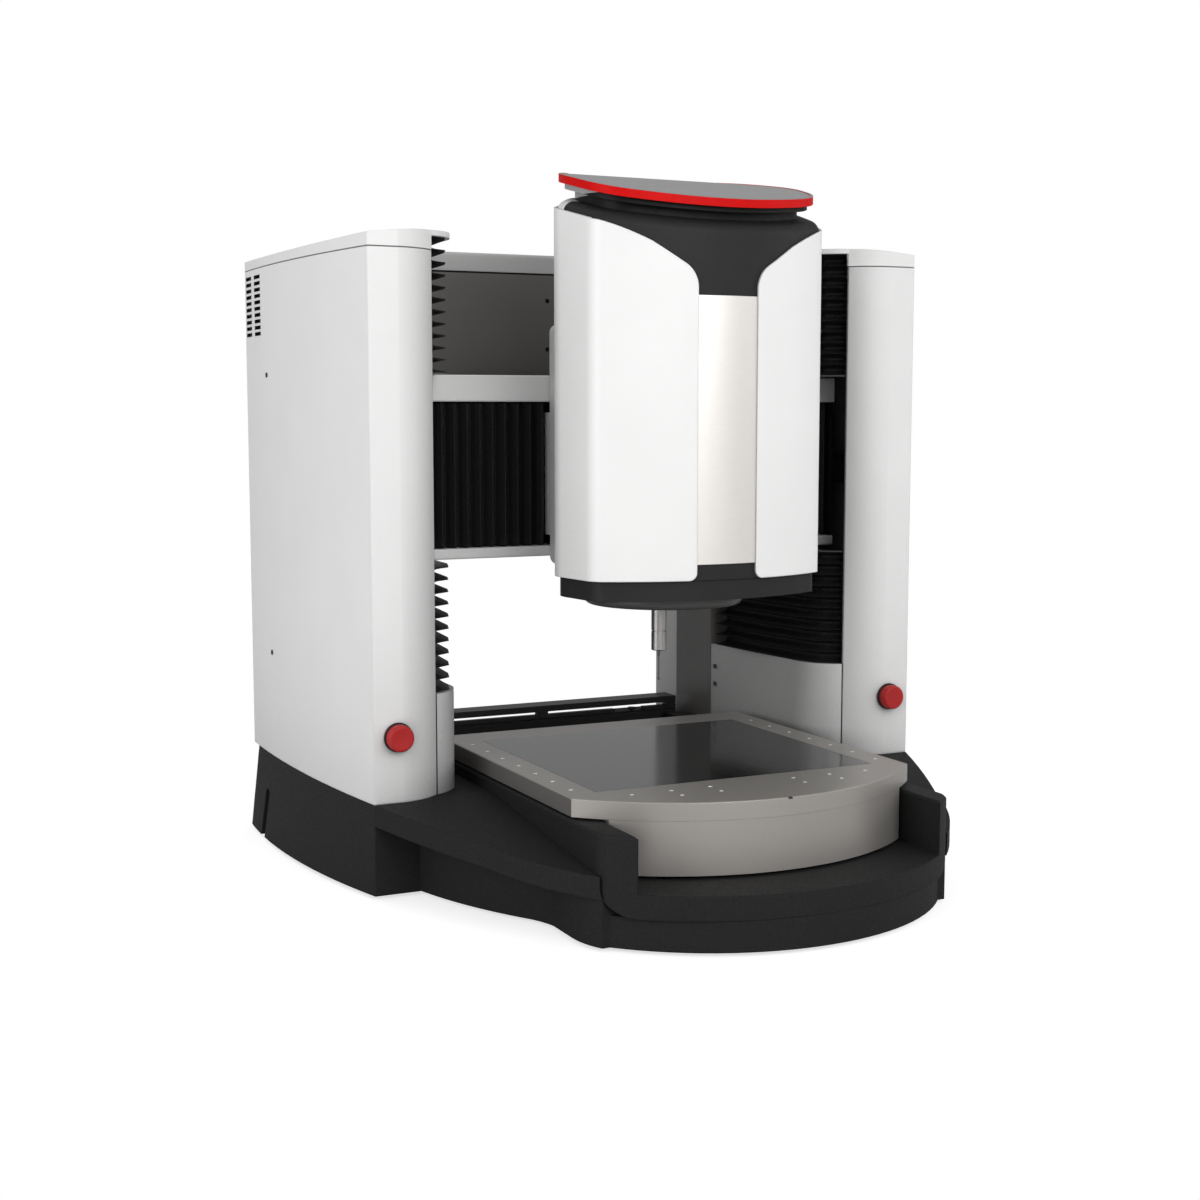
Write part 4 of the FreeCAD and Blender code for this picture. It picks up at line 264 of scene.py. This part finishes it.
def brushed(name, color, rough, along, metal=1.0, strength=0.25, edge=0.0008, streak=0.10):
    """Brushed metal: fine streaks that run along one axis."""
    stretch = [60, 60, 60]
    stretch["xyz".index(along)] = 1.2
    f = Finish(name, color, rough, metal).soften(edge)
    f.tint(f.noise(26, 5, stretch), streak, 0.25, 0.75)
    f.roughen(f.noise(34, 5, stretch), 0.09)
    return f.relief(f.noise(40, 4, stretch), 0.00004, strength)


def cloth(name, color):
    """Coated bellows cloth: dull, with a fine weave."""
    f = Finish(name, color, 0.62)
    f.tint(f.noise(500, 3), 0.35)
    f.roughen(f.noise(240, 3), 0.12)
    return f.relief(f.noise(1800, 2), 0.00012, 0.5).set(Specular_IOR_Level=0.3)


def glass(name, color, rough, index=1.52):
    """Dark glass, seen from above over a closed space."""
    f = Finish(name, color, rough).soften(0.0008)
    f.tint(f.noise(30, 2), 0.2)
    f.roughen(f.noise(110, 3), rough * 0.15)
    return f.set(IOR=index)


WHITE_RGB = (0.84, 0.84, 0.83)
WARM_RGB = (0.125, 0.119, 0.112)
SHELL_RGB = (0.019, 0.019, 0.0192)
SHELL_BACK_RGB = (0.72, 0.72, 0.71)
RED_RGB = (0.60, 0.002, 0.002)
LID_RGB = (0.30, 0.295, 0.297)
TIP_RGB = (0.36, 0.36, 0.355)
# Near black of the boots' joints, and of the painted shade in the stage's notch
JOINT_BLACK_AND_NOTCH_SHADE = (0.02, 0.02, 0.02)
SOFT_JOINT_SHADE = (0.22, 0.22, 0.22)

# Where the paint changes on a piece, in metres; above the cap joint, in the vent slots and above the portal's
# panel the change is painted shade
CAP_JOINT_Z = 0.9558
VENTS_Y, VENTS_Z = (0.42, 0.528), (0.84, 0.953)
BOOT_FRONT_X = 0.3618
PORTAL_SHADE_Z = 0.66
SHELL_BACK_Y = -0.05
SHELL_FLANK_X, SHELL_FLANK_Y = -0.168, -0.125
SHELL_SHOULDER_Z = 1.0
TRAY_TIP_X, TRAY_TIP_Z = -0.160, 1.03

# The threaded inserts of the stage, with the radius of the painted highlight round each, and the zero mark on
# its front edge, painted shade of a small notch, in metres
INSERT_PITCH, INSERT_OFFSET = 0.0625, 0.0065
INSERT_ROWS = (-0.330, -0.362)
INSERT_SIDE_X, INSERT_SIDE_Y = 0.257, -0.264
INSERT_HIGHLIGHT_RADIUS = 0.0031
ZERO_MARK_X, ZERO_MARK_SIZE, ZERO_MARK_LOW = -0.0015, 0.0034, 0.1882


def white_cover(name):
    """White powder coat, with painted shade: a soft grey band for the joint under the cap, near-black walls
    in the vent slots and darker paint in deep gaps.
    """
    f = powder_coat(name, WHITE_RGB, edge=0.004)
    # Painted shade: a soft grey band above the cap joint's level stands for the shade in the joint under the
    # cap
    f.patch(f.calc("GREATER_THAN", f.place(2), CAP_JOINT_Z), SOFT_JOINT_SHADE)
    # Painted shade: in the vent slots, the faces that don't look along X are near black
    slots = f.calc("MULTIPLY", f.within(1, *VENTS_Y), f.within(2, *VENTS_Z))
    f.patch(f.calc("MULTIPLY", slots, f.calc("LESS_THAN", f.facing(0), 0.7)), (0.01, 0.01, 0.01), 0.8)
    return f.shade_hollows(0.5, 0.4)


def boot_paint():
    """White, with a dark joint where the boot meets the column's front, and painted shade in deep gaps."""
    f = powder_coat("boot_white", WHITE_RGB)
    side = f.calc("ABSOLUTE", f.place(0))
    f.patch(f.calc("GREATER_THAN", side, BOOT_FRONT_X), JOINT_BLACK_AND_NOTCH_SHADE)
    return f.shade_hollows(0.5, 0.2)


def portal_paint():
    """Warm dark grey, and near black above the panel's level: painted shade in the joint above the panel and
    behind the panel's holes.
    """
    f = powder_coat("portal_warm_dark", WARM_RGB, 0.4)
    # Painted shade: near black above the panel's level
    f.patch(f.calc("GREATER_THAN", f.place(2), PORTAL_SHADE_Z), (0.004, 0.004, 0.004), 0.9)
    return f


def shell_paint():
    """Black moulding whose back part, behind the covers' joint, is light grey."""
    f = plastic("shell_black", SHELL_RGB, 0.52, 0.18)
    back = f.calc("GREATER_THAN", f.place(1), SHELL_BACK_Y)
    flank = f.calc("MULTIPLY", f.calc("GREATER_THAN", f.place(1), SHELL_FLANK_Y),
                   f.calc("LESS_THAN", f.place(0), SHELL_FLANK_X))
    high = f.calc("GREATER_THAN", f.place(2), SHELL_SHOULDER_Z)
    f.patch(f.calc("MULTIPLY", f.calc("MAXIMUM", back, flank), high), SHELL_BACK_RGB)
    return f


def rim_paint():
    """Red, with the lid's grey on its top face."""
    f = plastic("rim_red", RED_RGB, 0.5, 0.1)
    f.patch(f.faces_up(), LID_RGB)
    return f


def tray_paint():
    """Very dark black, painted shade over the tray under the lid, with a light grey bevel at the left tip."""
    f = plastic("tray_shaded_black", (0.007, 0.007, 0.007), 0.5, 0.15)
    tip = f.calc("LESS_THAN", f.place(0), TRAY_TIP_X)
    f.patch(f.calc("MULTIPLY", tip, f.calc("GREATER_THAN", f.place(2), TRAY_TIP_Z)), TIP_RGB)
    return f


def stage_steel(name, edge=0.0008):
    """Ground steel with a warm tone."""
    return brushed(name, (0.40, 0.38, 0.355), 0.42, "x", 0.6, 0.15, edge=edge, streak=0.05)


def plate_steel():
    """The stage's steel: sides painted darker as shade, bright rims round the inserts painted as highlights
    of their countersinks, and a black zero mark on the front edge, painted shade of a small notch.
    """
    f = stage_steel("plate_steel")
    front = [(INSERT_PITCH * k + (INSERT_OFFSET if k > 0 else -INSERT_OFFSET), y)
             for k in (-3, -2, -1, 1, 2, 3)
             for y in (INSERT_ROWS[:1] if abs(k) == 3 else INSERT_ROWS)]
    sides = [(side * INSERT_SIDE_X, INSERT_SIDE_Y + INSERT_PITCH * k) for side in (-1, 1) for k in range(7)]
    # Painted shade: the faces that look along X are darker
    f.patch(f.calc("GREATER_THAN", f.facing(0), 0.75), (0.22, 0.21, 0.2))
    # Painted highlight: bright rims round the inserts, for their countersinks catching light
    f.patch(f.near(front + sides, INSERT_HIGHLIGHT_RADIUS), (0.93, 0.93, 0.92), 0.5, 0.0)
    # Painted shade: a black patch high on the front edge for a small notch
    front_edge = box_of("stage_plate")[0][1] / 1000
    mark = f.near([(ZERO_MARK_X, front_edge)], ZERO_MARK_SIZE)
    f.patch(f.calc("MULTIPLY", mark, f.calc("GREATER_THAN", f.place(2), ZERO_MARK_LOW)), JOINT_BLACK_AND_NOTCH_SHADE, 0.8, 0.0)
    return f


def threaded(name, axis, pitch):
    """Ground steel with the fine rings of a ball screw's thread."""
    f = Finish(name, (0.5, 0.5, 0.5), 0.28, 1.0)
    f.roughen(f.noise(120, 3), 0.06)
    wave = f.calc("SINE", f.calc("MULTIPLY", f.place(axis), 2 * math.pi / pitch))
    return f.relief(wave, 0.002, 0.9)


LOOKS = {
    "white_paint": powder_coat("white_paint", WHITE_RGB),
    "light_grey_paint": powder_coat("light_grey_paint", WHITE_RGB, 0.36),
    "warm_dark_paint": powder_coat("warm_dark_paint", WARM_RGB, 0.4),
    "black_casting": cast_paint("black_casting", (0.0112, 0.0112, 0.0114)),
    "rubber_foot": plastic("rubber_foot", (0.02, 0.02, 0.02), 0.8, 0.2),
    "black_plastic": plastic("black_plastic", (0.012, 0.012, 0.012), 0.45, 0.3),
    "gloss_black": plastic("gloss_black", SHELL_RGB, 0.34, 0.32),
    "bellows_cloth": cloth("bellows_cloth", (0.013, 0.013, 0.013)),
    "bright_steel": brushed("bright_steel", (0.55, 0.55, 0.55), 0.25, "z"),
    "dark_steel": brushed("dark_steel", (0.09, 0.09, 0.092), 0.42, "x"),
    "black_aluminium": brushed("black_aluminium", (0.022, 0.022, 0.024), 0.45, "z", 0.5),
    "champagne_metal": brushed("champagne_metal", (0.86, 0.83, 0.79), 0.4, "x", 0.75, 0.15,
                               streak=0.03),
    "red_gloss": rim_paint(),
    "red_cap": plastic("button_red", (0.40, 0.018, 0.018), 0.42, 0.25),
    "lid_grey": powder_coat("lid_grey", LID_RGB, 0.42),
    "grey_disc": powder_coat("grey_disc", (0.075, 0.074, 0.072), 0.36),
    "lamp_ring": plastic("lamp_ring", (0.7, 0.7, 0.66), 0.5),
    "lens_glass": glass("lens_glass", (0.02, 0.025, 0.035), 0.05).set(Coat_Weight=1.0,
                                                                      Coat_Roughness=0.03),
    "satin_nickel": brushed("satin_nickel", (0.42, 0.41, 0.4), 0.3, "z"),
    "stylus_dark": brushed("stylus_dark", (0.12, 0.12, 0.12), 0.35, "z"),
    "stage_steel": stage_steel("stage_steel", 0.0002),
    "stage_glass": glass("stage_glass", (0.012, 0.012, 0.0115), 0.14, 1.66),
    "pale_insert": plastic("pale_insert", (0.8, 0.8, 0.77), 0.5),
}
for name, finish in LOOKS.items():
    LOOKS[name] = finish.done()

# Finishes of single pieces; all the others take the one of their slot
SPECIAL = {
    "column_cover_left": white_cover("cover_white").done(),
    "boot_covers": boot_paint().done(),
    "portal_frame": portal_paint().done(),
    # Painted shade: the top cover's light grey, painted darker because it lies in shadow
    "portal_rear_cover": powder_coat("portal_top_shaded_grey", (0.46, 0.46, 0.455), 0.4).done(),
    "head_shell": shell_paint().done(),
    "lid_tray": tray_paint().done(),
    "stage_plate": plate_steel().done(),
    # The head's white covers, with painted shade in deep gaps
    "head_cover_left": powder_coat("head_white", WHITE_RGB, edge=0.003)
                       .shade_hollows(0.5, 0.4).done(),
    "cover_screws": brushed("screw_steel", (0.06, 0.06, 0.06), 0.4, "y").done(),
    "upright_screw_left": threaded("upright_thread", 2, 0.010).done(),
    "side_screw": threaded("side_thread", 0, 0.020).done(),
    "stage_screw": threaded("stage_thread", 1, 0.020).done(),
}
SPECIAL["head_cover_right"] = SPECIAL["head_cover_left"]
SPECIAL["upright_screw_right"] = SPECIAL["upright_screw_left"]
SPECIAL["column_cover_right"] = SPECIAL["column_cover_left"]

SLOT_OF = {part["node"]: part["material_slot"] for part in frame["record"]["subparts"]}
for name, node in NODES.items():
    node.data.materials.clear()
    node.data.materials.append(SPECIAL.get(name) or LOOKS[SLOT_OF[name]])


# Meshes: helpers

def mesh_piece(name, points, faces, look, slot, smooth=False):
    """A mesh from points in millimetres."""
    mesh = bpy.data.meshes.new(name)
    mesh.from_pydata([(x / 1000, y / 1000, z / 1000) for x, y, z in points], [], faces)
    mesh.update()
    if smooth:
        mesh.polygons.foreach_set("use_smooth", [True] * len(mesh.polygons))
    made = bpy.data.objects.new(name, mesh)
    bpy.context.scene.collection.objects.link(made)
    mesh.materials.append(look)
    return made


def ribbon(rows, flip):
    """Points and faces of a closed band that runs through rows of points; each row is a closed loop."""
    points, faces = [], []
    count = len(rows[0])
    for row in rows:
        points += row
    for r in range(len(rows) - 1):
        for c in range(count):
            a, b = r * count + c, r * count + (c + 1) % count
            faces.append((a, b, b + count, a + count) if flip else (a, a + count, b + count, b))
    ends = [tuple(range(count)), tuple(range((len(rows) - 1) * count, len(rows) * count))]
    faces.append(ends[0][::-1] if flip else ends[0])
    faces.append(ends[1] if flip else ends[1][::-1])
    return points, faces


def joined(parts):
    """Several point-and-face sets as one."""
    points, faces = [], []
    for more_points, more_faces in parts:
        shift = len(points)
        points += more_points
        faces += [tuple(i + shift for i in face) for face in more_faces]
    return points, faces


def groups(count):
    """Folds shared out over chunks: single ones at the ends, pairs between."""
    chunks, at = [], 0
    while at < count:
        left = count - at
        size = 1 if at < 2 or left <= 2 else 2
        chunks.append((at, at + size))
        at += size
    return chunks


def blend_span(low, high, middle):
    """Where a chunk's bend starts and ends, so that its middle moves in step with the whole curtain."""
    want = (middle - low) / (high - low)
    t = want
    for _ in range(60):
        slope = 6 * t * (1 - t)
        t -= (t * t * (3 - 2 * t) - want) / max(slope, 0.05)
        t = min(max(t, 1e-4), 1 - 1e-4)
    reach = (high - low) * 6 * t * (1 - t)
    start = middle - t * reach
    return start, start + reach


# Upright curtains between the columns and the beam

# One fold: share of the depth, share of the pitch
FOLD = [(0.0, 0.0), (0.03, 0.022), (0.40, 0.095), (0.72, 0.185), (0.92, 0.315), (1.0, 0.44),
        (1.0, 0.56), (0.92, 0.685), (0.72, 0.815), (0.40, 0.905), (0.03, 0.978)]
# Plan of the right-hand bay's mouth, in millimetres
PATH = [(294, 302), (301.6, 184), (316, 63), (329.83, 21.75), (364, -2)]
DEPTH, WALL = 25.0, 1.6


def path_frames(path):
    """Each point of a plan line with the outward direction there, stretched at the corners."""
    frames = []
    for index, here in enumerate(path):
        ways = []
        if index:
            ways.append(Vector((here[0] - path[index - 1][0], here[1] - path[index - 1][1])).normalized())
        if index + 1 < len(path):
            ways.append(Vector((path[index + 1][0] - here[0], path[index + 1][1] - here[1])).normalized())
        normals = [Vector((-way.y, way.x)) for way in ways]
        mitre = sum(normals, Vector((0, 0))).normalized()
        frames.append((here, mitre / mitre.dot(normals[0])))
    return frames


def upright_curtain(name, low, high, pleats, rising):
    """One pleated curtain on both sides of the machine, in chunks of one or two folds; the span each chunk
    would stretch over is worked out but not used.

    A rising curtain has its lower end on the frame, the other its upper end.
    """
    pitch = (high - low) / pleats
    look = LOOKS["bellows_cloth"]
    for first, last in groups(pleats):
        profile = [(out * DEPTH, low + pitch * (k + level)) for k in range(first, last)
                   for out, level in FOLD]
        profile.append((0.0, low + pitch * last))
        loop = [(out + WALL, level) for out, level in profile] + profile[::-1]
        sides = []
        for side in (1, -1):
            rows = [[(side * (x + way.x * out), y + way.y * out, level) for out, level in loop]
                    for (x, y), way in path_frames(PATH)]
            sides.append(ribbon(rows, side > 0))
        piece = mesh_piece(f"{name}_{first}", *joined(sides), look, "bellows_cloth")
        start, end = blend_span(low, high, low + pitch * (first + last) / 2)
        if not rising:
            start, end = end, start
        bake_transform(piece)
        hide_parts(name)


upright_curtain("lower_bellows", 298.3, 485.7, 10, rising=True)
upright_curtain("upper_bellows", 780.3, 977.7, 11, rising=False)


# Side curtains between the beam's ends and the head

SIDE_LOW, SIDE_HIGH = 507.0, 734.0
SIDE_BACK, SIDE_DEPTH = 142, 18
SIDE_FOLD = [(0.0, 0.0), (0.05, 0.05), (0.55, 0.22), (0.95, 0.44), (1.0, 0.5), (0.95, 0.56), (0.55, 0.78),
             (0.05, 0.95)]


def side_curtain(side, near, far, pleats):
    """One curtain beside the head, in chunks; the span each chunk would stretch over, between the beam's end
    and the head, is worked out but not used.
    """
    pitch = (far - near) / pleats
    for first, last in groups(pleats):
        profile = [(near + pitch * (k + along), SIDE_BACK - out * SIDE_DEPTH) for k in range(first, last)
                   for out, along in SIDE_FOLD]
        profile.append((near + pitch * last, SIDE_BACK))
        loop = [(side * x, y) for x, y in profile] + [(side * x, y + WALL) for x, y in profile[::-1]]
        rows = [[(x, y, level) for x, y in loop] for level in (SIDE_LOW, SIDE_HIGH)]
        piece = mesh_piece(f"side_curtain_{'left' if side < 0 else 'right'}_{first}",
                           *ribbon(rows, side > 0), LOOKS["bellows_cloth"], "bellows_cloth")
        start, end = blend_span(near, far, near + pitch * (first + last) / 2)
        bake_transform(piece)
        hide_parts("side_bellows")


side_curtain(-1, 117.3, 417.7, 14)
side_curtain(1, 107.3, 417.7, 14)


# Guard bar: an angle section with a slit, on a low strip with one notch and a knob

def bar_piece(low_x, high_x, section):
    """A bar along X with one section in Y and Z."""
    return ribbon([[(x, y, z) for y, z in section] for x in (low_x, high_x)], False)


def chamfered(front, back, low, high, cut):
    """A section with its two upper edges cut off."""
    return [(front, low), (back, low), (back, high - cut), (back - cut, high), (front + cut, high),
            (front, high - cut)]


def revolve(profile, centre, axis="z", count=48):
    """Points and faces of a body of revolution; the profile is (radius, along the axis)."""
    def put(r, along, angle):
        a, b = r * math.cos(angle), r * math.sin(angle)
        x, y, z = {"z": (a, b, along), "y": (a, along, -b)}[axis]
        return centre[0] + x, centre[1] + y, centre[2] + z

    rows = [[put(r, along, 2 * math.pi * k / count) for k in range(count)] for r, along in profile]
    return ribbon(rows, profile[0][1] < profile[-1][1])


GUARD_FRONT, GUARD_BACK, GUARD_HALF = 416.5, 461.5, 273
GUARD_FOOT, GUARD_TOP, GUARD_SHEET = 165.02, 188, 3
SLIT_LOW, SLIT_HIGH = 171.5, 177
FLANGE_BACK, STRIP_BACK = 429, 430
NOTCH = (146, 206)
KNOB = (184, 424, 0)
KNOB_PROFILE = [(4, GUARD_FOOT), (4, 168.2), (8, 168.4), (8, 170.8), (7.2, 171.4)]
BRIDGES, BRIDGE_HALF = (0, -262, 262), 11
bridge = chamfered(418, 428, 171.4, 177.1, 0.5)
upper = [(GUARD_FRONT, SLIT_HIGH), (FLANGE_BACK, SLIT_HIGH), (FLANGE_BACK, GUARD_TOP - GUARD_SHEET),
         (GUARD_BACK, GUARD_TOP - GUARD_SHEET), (GUARD_BACK, GUARD_TOP - 1), (GUARD_BACK - 1, GUARD_TOP),
         (GUARD_FRONT + 1.5, GUARD_TOP), (GUARD_FRONT, GUARD_TOP - 1.5)]
strip = [(GUARD_FRONT, GUARD_FOOT), (STRIP_BACK, GUARD_FOOT), (STRIP_BACK, SLIT_LOW - 0.5),
         (STRIP_BACK - 0.5, SLIT_LOW), (GUARD_FRONT + 1, SLIT_LOW), (GUARD_FRONT, SLIT_LOW - 1)]
guard_parts = [bar_piece(-GUARD_HALF, GUARD_HALF, upper), bar_piece(-GUARD_HALF, NOTCH[0], strip),
               bar_piece(NOTCH[1], GUARD_HALF, strip)]
guard_parts += [bar_piece(x - BRIDGE_HALF, x + BRIDGE_HALF, bridge) for x in BRIDGES]
guard_parts.append(revolve(KNOB_PROFILE, KNOB, "z", 24))
guard = mesh_piece("guard_slotted", *joined(guard_parts), LOOKS["black_aluminium"], SLOT_OF["guard_bar"])
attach(guard, "frame")
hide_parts("guard_bar")


# Emergency-stop caps: a shallow dish inside a rounded edge

for side in ("left", "right"):
    low, high = box_of(f"stop_cap_{side}")
    centre = ((low[0] + high[0]) / 2, low[1], (low[2] + high[2]) / 2)
    radius, depth = (high[2] - low[2]) / 2, high[1] - low[1]
    flat, rounding, back_edge = radius * 0.8, radius * 0.2, 0.4
    dish = [(0.02, 0.9), (radius * 0.45, 0.7), (radius * 0.72, 0.15), (flat, 0.0)]
    dish += [(flat + rounding * math.sin(a), rounding * (1 - math.cos(a)))
             for a in [math.pi / 2 * k / 8 for k in range(1, 9)]]
    dish += [(radius, depth - back_edge), (radius - back_edge, depth)]
    cap = mesh_piece(f"stop_cap_dished_{side}", *revolve(dish, centre, "y", 64), LOOKS["red_cap"],
                     "red_cap", True)
    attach(cap, f"stop_cap_{side}")
    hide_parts(f"stop_cap_{side}")


# Ring light: a ring of small lamps

RING_BORE, RING_LIP, LAMP_LIFT, RING_STEPS = 36.3, 1.5, 1.6, 72
LAMP_PROFILE = [(0.05, 0.0), (0.9, 0.25), (1.4, 0.8), (1.5, 1.7)]
low, high = box_of("ring_light")
centre_x, centre_y = (low[0] + high[0]) / 2, (low[1] + high[1]) / 2
outer = (high[0] - low[0]) / 2


def on_ring(radius, angle, level):
    """A point round the ring's axis."""
    return centre_x + radius * math.cos(angle), centre_y + radius * math.sin(angle), level


plate = [(RING_BORE, low[2] + LAMP_LIFT), (RING_BORE, high[2]), (outer, high[2]), (outer, low[2]),
         (outer - RING_LIP, low[2]), (outer - RING_LIP, low[2] + LAMP_LIFT)]
ring_rows = [[on_ring(r, 2 * math.pi * k / RING_STEPS, z) for r, z in plate] for k in range(RING_STEPS + 1)]
ring_disc = mesh_piece("ring_light_body", *ribbon(ring_rows, True), LOOKS["black_plastic"], "lamp_ring")
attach(ring_disc, "head")
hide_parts("ring_light")
lamps = [revolve(LAMP_PROFILE, on_ring(row, 2 * math.pi * k / count, low[2]), "z", 12)
         for row, count in ((RING_BORE + 3.5, 24), (outer - 5, 32)) for k in range(count)]
bulbs = mesh_piece("ring_light_lamps", *joined(lamps), LOOKS["lamp_ring"], "lamp_ring", True)
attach(bulbs, "head")
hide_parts("ring_light")


# Mains inlet: three flat pins in the cavity

INLET_X, INLET_Z = 380, 80
PIN_ENDS, PIN_HALF_WIDTH, PIN_HALF_HEIGHT = (515, 528), 1, 2
pins = []
for x, z in ((-7, -3), (7, -3), (0, 4)):
    section = [(INLET_X + x + a * PIN_HALF_WIDTH, INLET_Z + z + b * PIN_HALF_HEIGHT)
               for a, b in ((-1, -1), (1, -1), (1, 1), (-1, 1))]
    pins.append(ribbon([[(a, y, b) for a, b in section] for y in PIN_ENDS], True))
blades = mesh_piece("inlet_pins", *joined(pins), LOOKS["bright_steel"], "bright_steel")
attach(blades, "frame")


# Camera at the photograph's angle

CAMERA_PLACE = (-1.2814, -2.4957, 0.7268)
CAMERA_DOWN, CAMERA_TURN = 6.196, -25.616
camera_data = bpy.data.cameras.new("camera")
camera = bpy.data.objects.new("camera", camera_data)
bpy.context.scene.collection.objects.link(camera)
camera.location = CAMERA_PLACE
camera.rotation_euler = (math.radians(90 - CAMERA_DOWN), 0, math.radians(CAMERA_TURN))
camera_data.lens = 53.17
camera_data.sensor_width = 36
camera_data.clip_end = 100
bpy.context.scene.camera = camera


# Light: a large soft key from the front, one from each side and a weak one above the back

def area_light(name, place, aim, size, power):
    """A rectangular lamp that looks at a point; places in metres, power in watts."""
    data = bpy.data.lights.new(name, "AREA")
    data.shape = "RECTANGLE"
    data.size, data.size_y = size
    data.energy = power
    lamp = bpy.data.objects.new(name, data)
    bpy.context.scene.collection.objects.link(lamp)
    lamp.location = place
    way = Vector(aim) - Vector(place)
    lamp.rotation_euler = way.to_track_quat("-Z", "Y").to_euler()


area_light("key", (0.1, -4.3, 2.1), (0, -0.1, 0.5), (3.2, 2.0), 90)
area_light("right", (3.6, -1.8, 1.7), (0, 0, 0.5), (1.8, 2.0), 24)
area_light("left", (-4.05, -1.3, 1.4), (-0.4, 0.0, 0.5), (1.8, 2.2), 62)
area_light("top", (0.0, 0.9, 4.0), (0, 0, 0.5), (2.6, 2.6), 15)


def by_camera(tree, plain, seen):
    """Shows one shader to the camera and another to the light that falls on the machine."""
    path = tree.nodes.new("ShaderNodeLightPath")
    mix = tree.nodes.new("ShaderNodeMixShader")
    tree.links.new(path.outputs["Is Camera Ray"], mix.inputs["Fac"])
    tree.links.new(plain, mix.inputs[1])
    tree.links.new(seen, mix.inputs[2])
    return mix.outputs["Shader"]


AMBIENT = 0.44
FLOOR_HALF, FLOOR_LIFT = 14, 0.66
FADE_START, FADE_END = 0.55, 1.15

world = bpy.data.worlds.new("studio")
bpy.context.scene.world = world
world.use_nodes = True
tree = world.node_tree
background = tree.nodes["Background"]
background.inputs["Color"].default_value = (0.98, 0.985, 1.0, 1)
background.inputs["Strength"].default_value = AMBIENT
bright = tree.nodes.new("ShaderNodeBackground")
bright.inputs["Color"].default_value = (1, 1, 1, 1)
bright.inputs["Strength"].default_value = 1.0
tree.links.new(by_camera(tree, background.outputs["Background"], bright.outputs["Background"]),
               tree.nodes["World Output"].inputs["Surface"])

bpy.context.scene.view_settings.view_transform = "Standard"

floor_mesh = bpy.data.meshes.new("floor")
floor_corners = [(FLOOR_HALF * x, FLOOR_HALF * y, 0) for x, y in ((-1, -1), (1, -1), (1, 1), (-1, 1))]
floor_mesh.from_pydata(floor_corners, [], [(0, 1, 2, 3)])
floor = bpy.data.objects.new("floor", floor_mesh)
bpy.context.scene.collection.objects.link(floor)

# The camera sees the floor brighter than it lights the machine, fading to pure white away from it
paper = Finish("paper", (0.62, 0.62, 0.62), 0.9)
paper.tint(paper.noise(3, 2), 0.004)
sheet = paper.done()
grow = paper.node("ShaderNodeEmission", Color=(1, 1, 1, 1), Strength=1.0)
reach = paper.node("ShaderNodeVectorMath")
reach.operation = "LENGTH"
paper.link(paper.coords, reach.inputs[0])
fade = paper.span(reach.outputs["Value"], 0, 1, FADE_START, FADE_END)
far = paper.node("ShaderNodeMixShader")
paper.link(fade, far.inputs["Fac"])
near = paper.node("ShaderNodeAddShader")
dim = paper.node("ShaderNodeEmission", Color=(1, 1, 1, 1), Strength=FLOOR_LIFT)
paper.link(paper.bsdf.outputs["BSDF"], near.inputs[0])
paper.link(dim.outputs["Emission"], near.inputs[1])
paper.link(near.outputs["Shader"], far.inputs[1])
paper.link(grow.outputs["Emission"], far.inputs[2])
paper.link(by_camera(paper.tree, paper.bsdf.outputs["BSDF"], far.outputs["Shader"]),
           paper.tree.nodes["Material Output"].inputs["Surface"])
floor_mesh.materials.append(sheet)
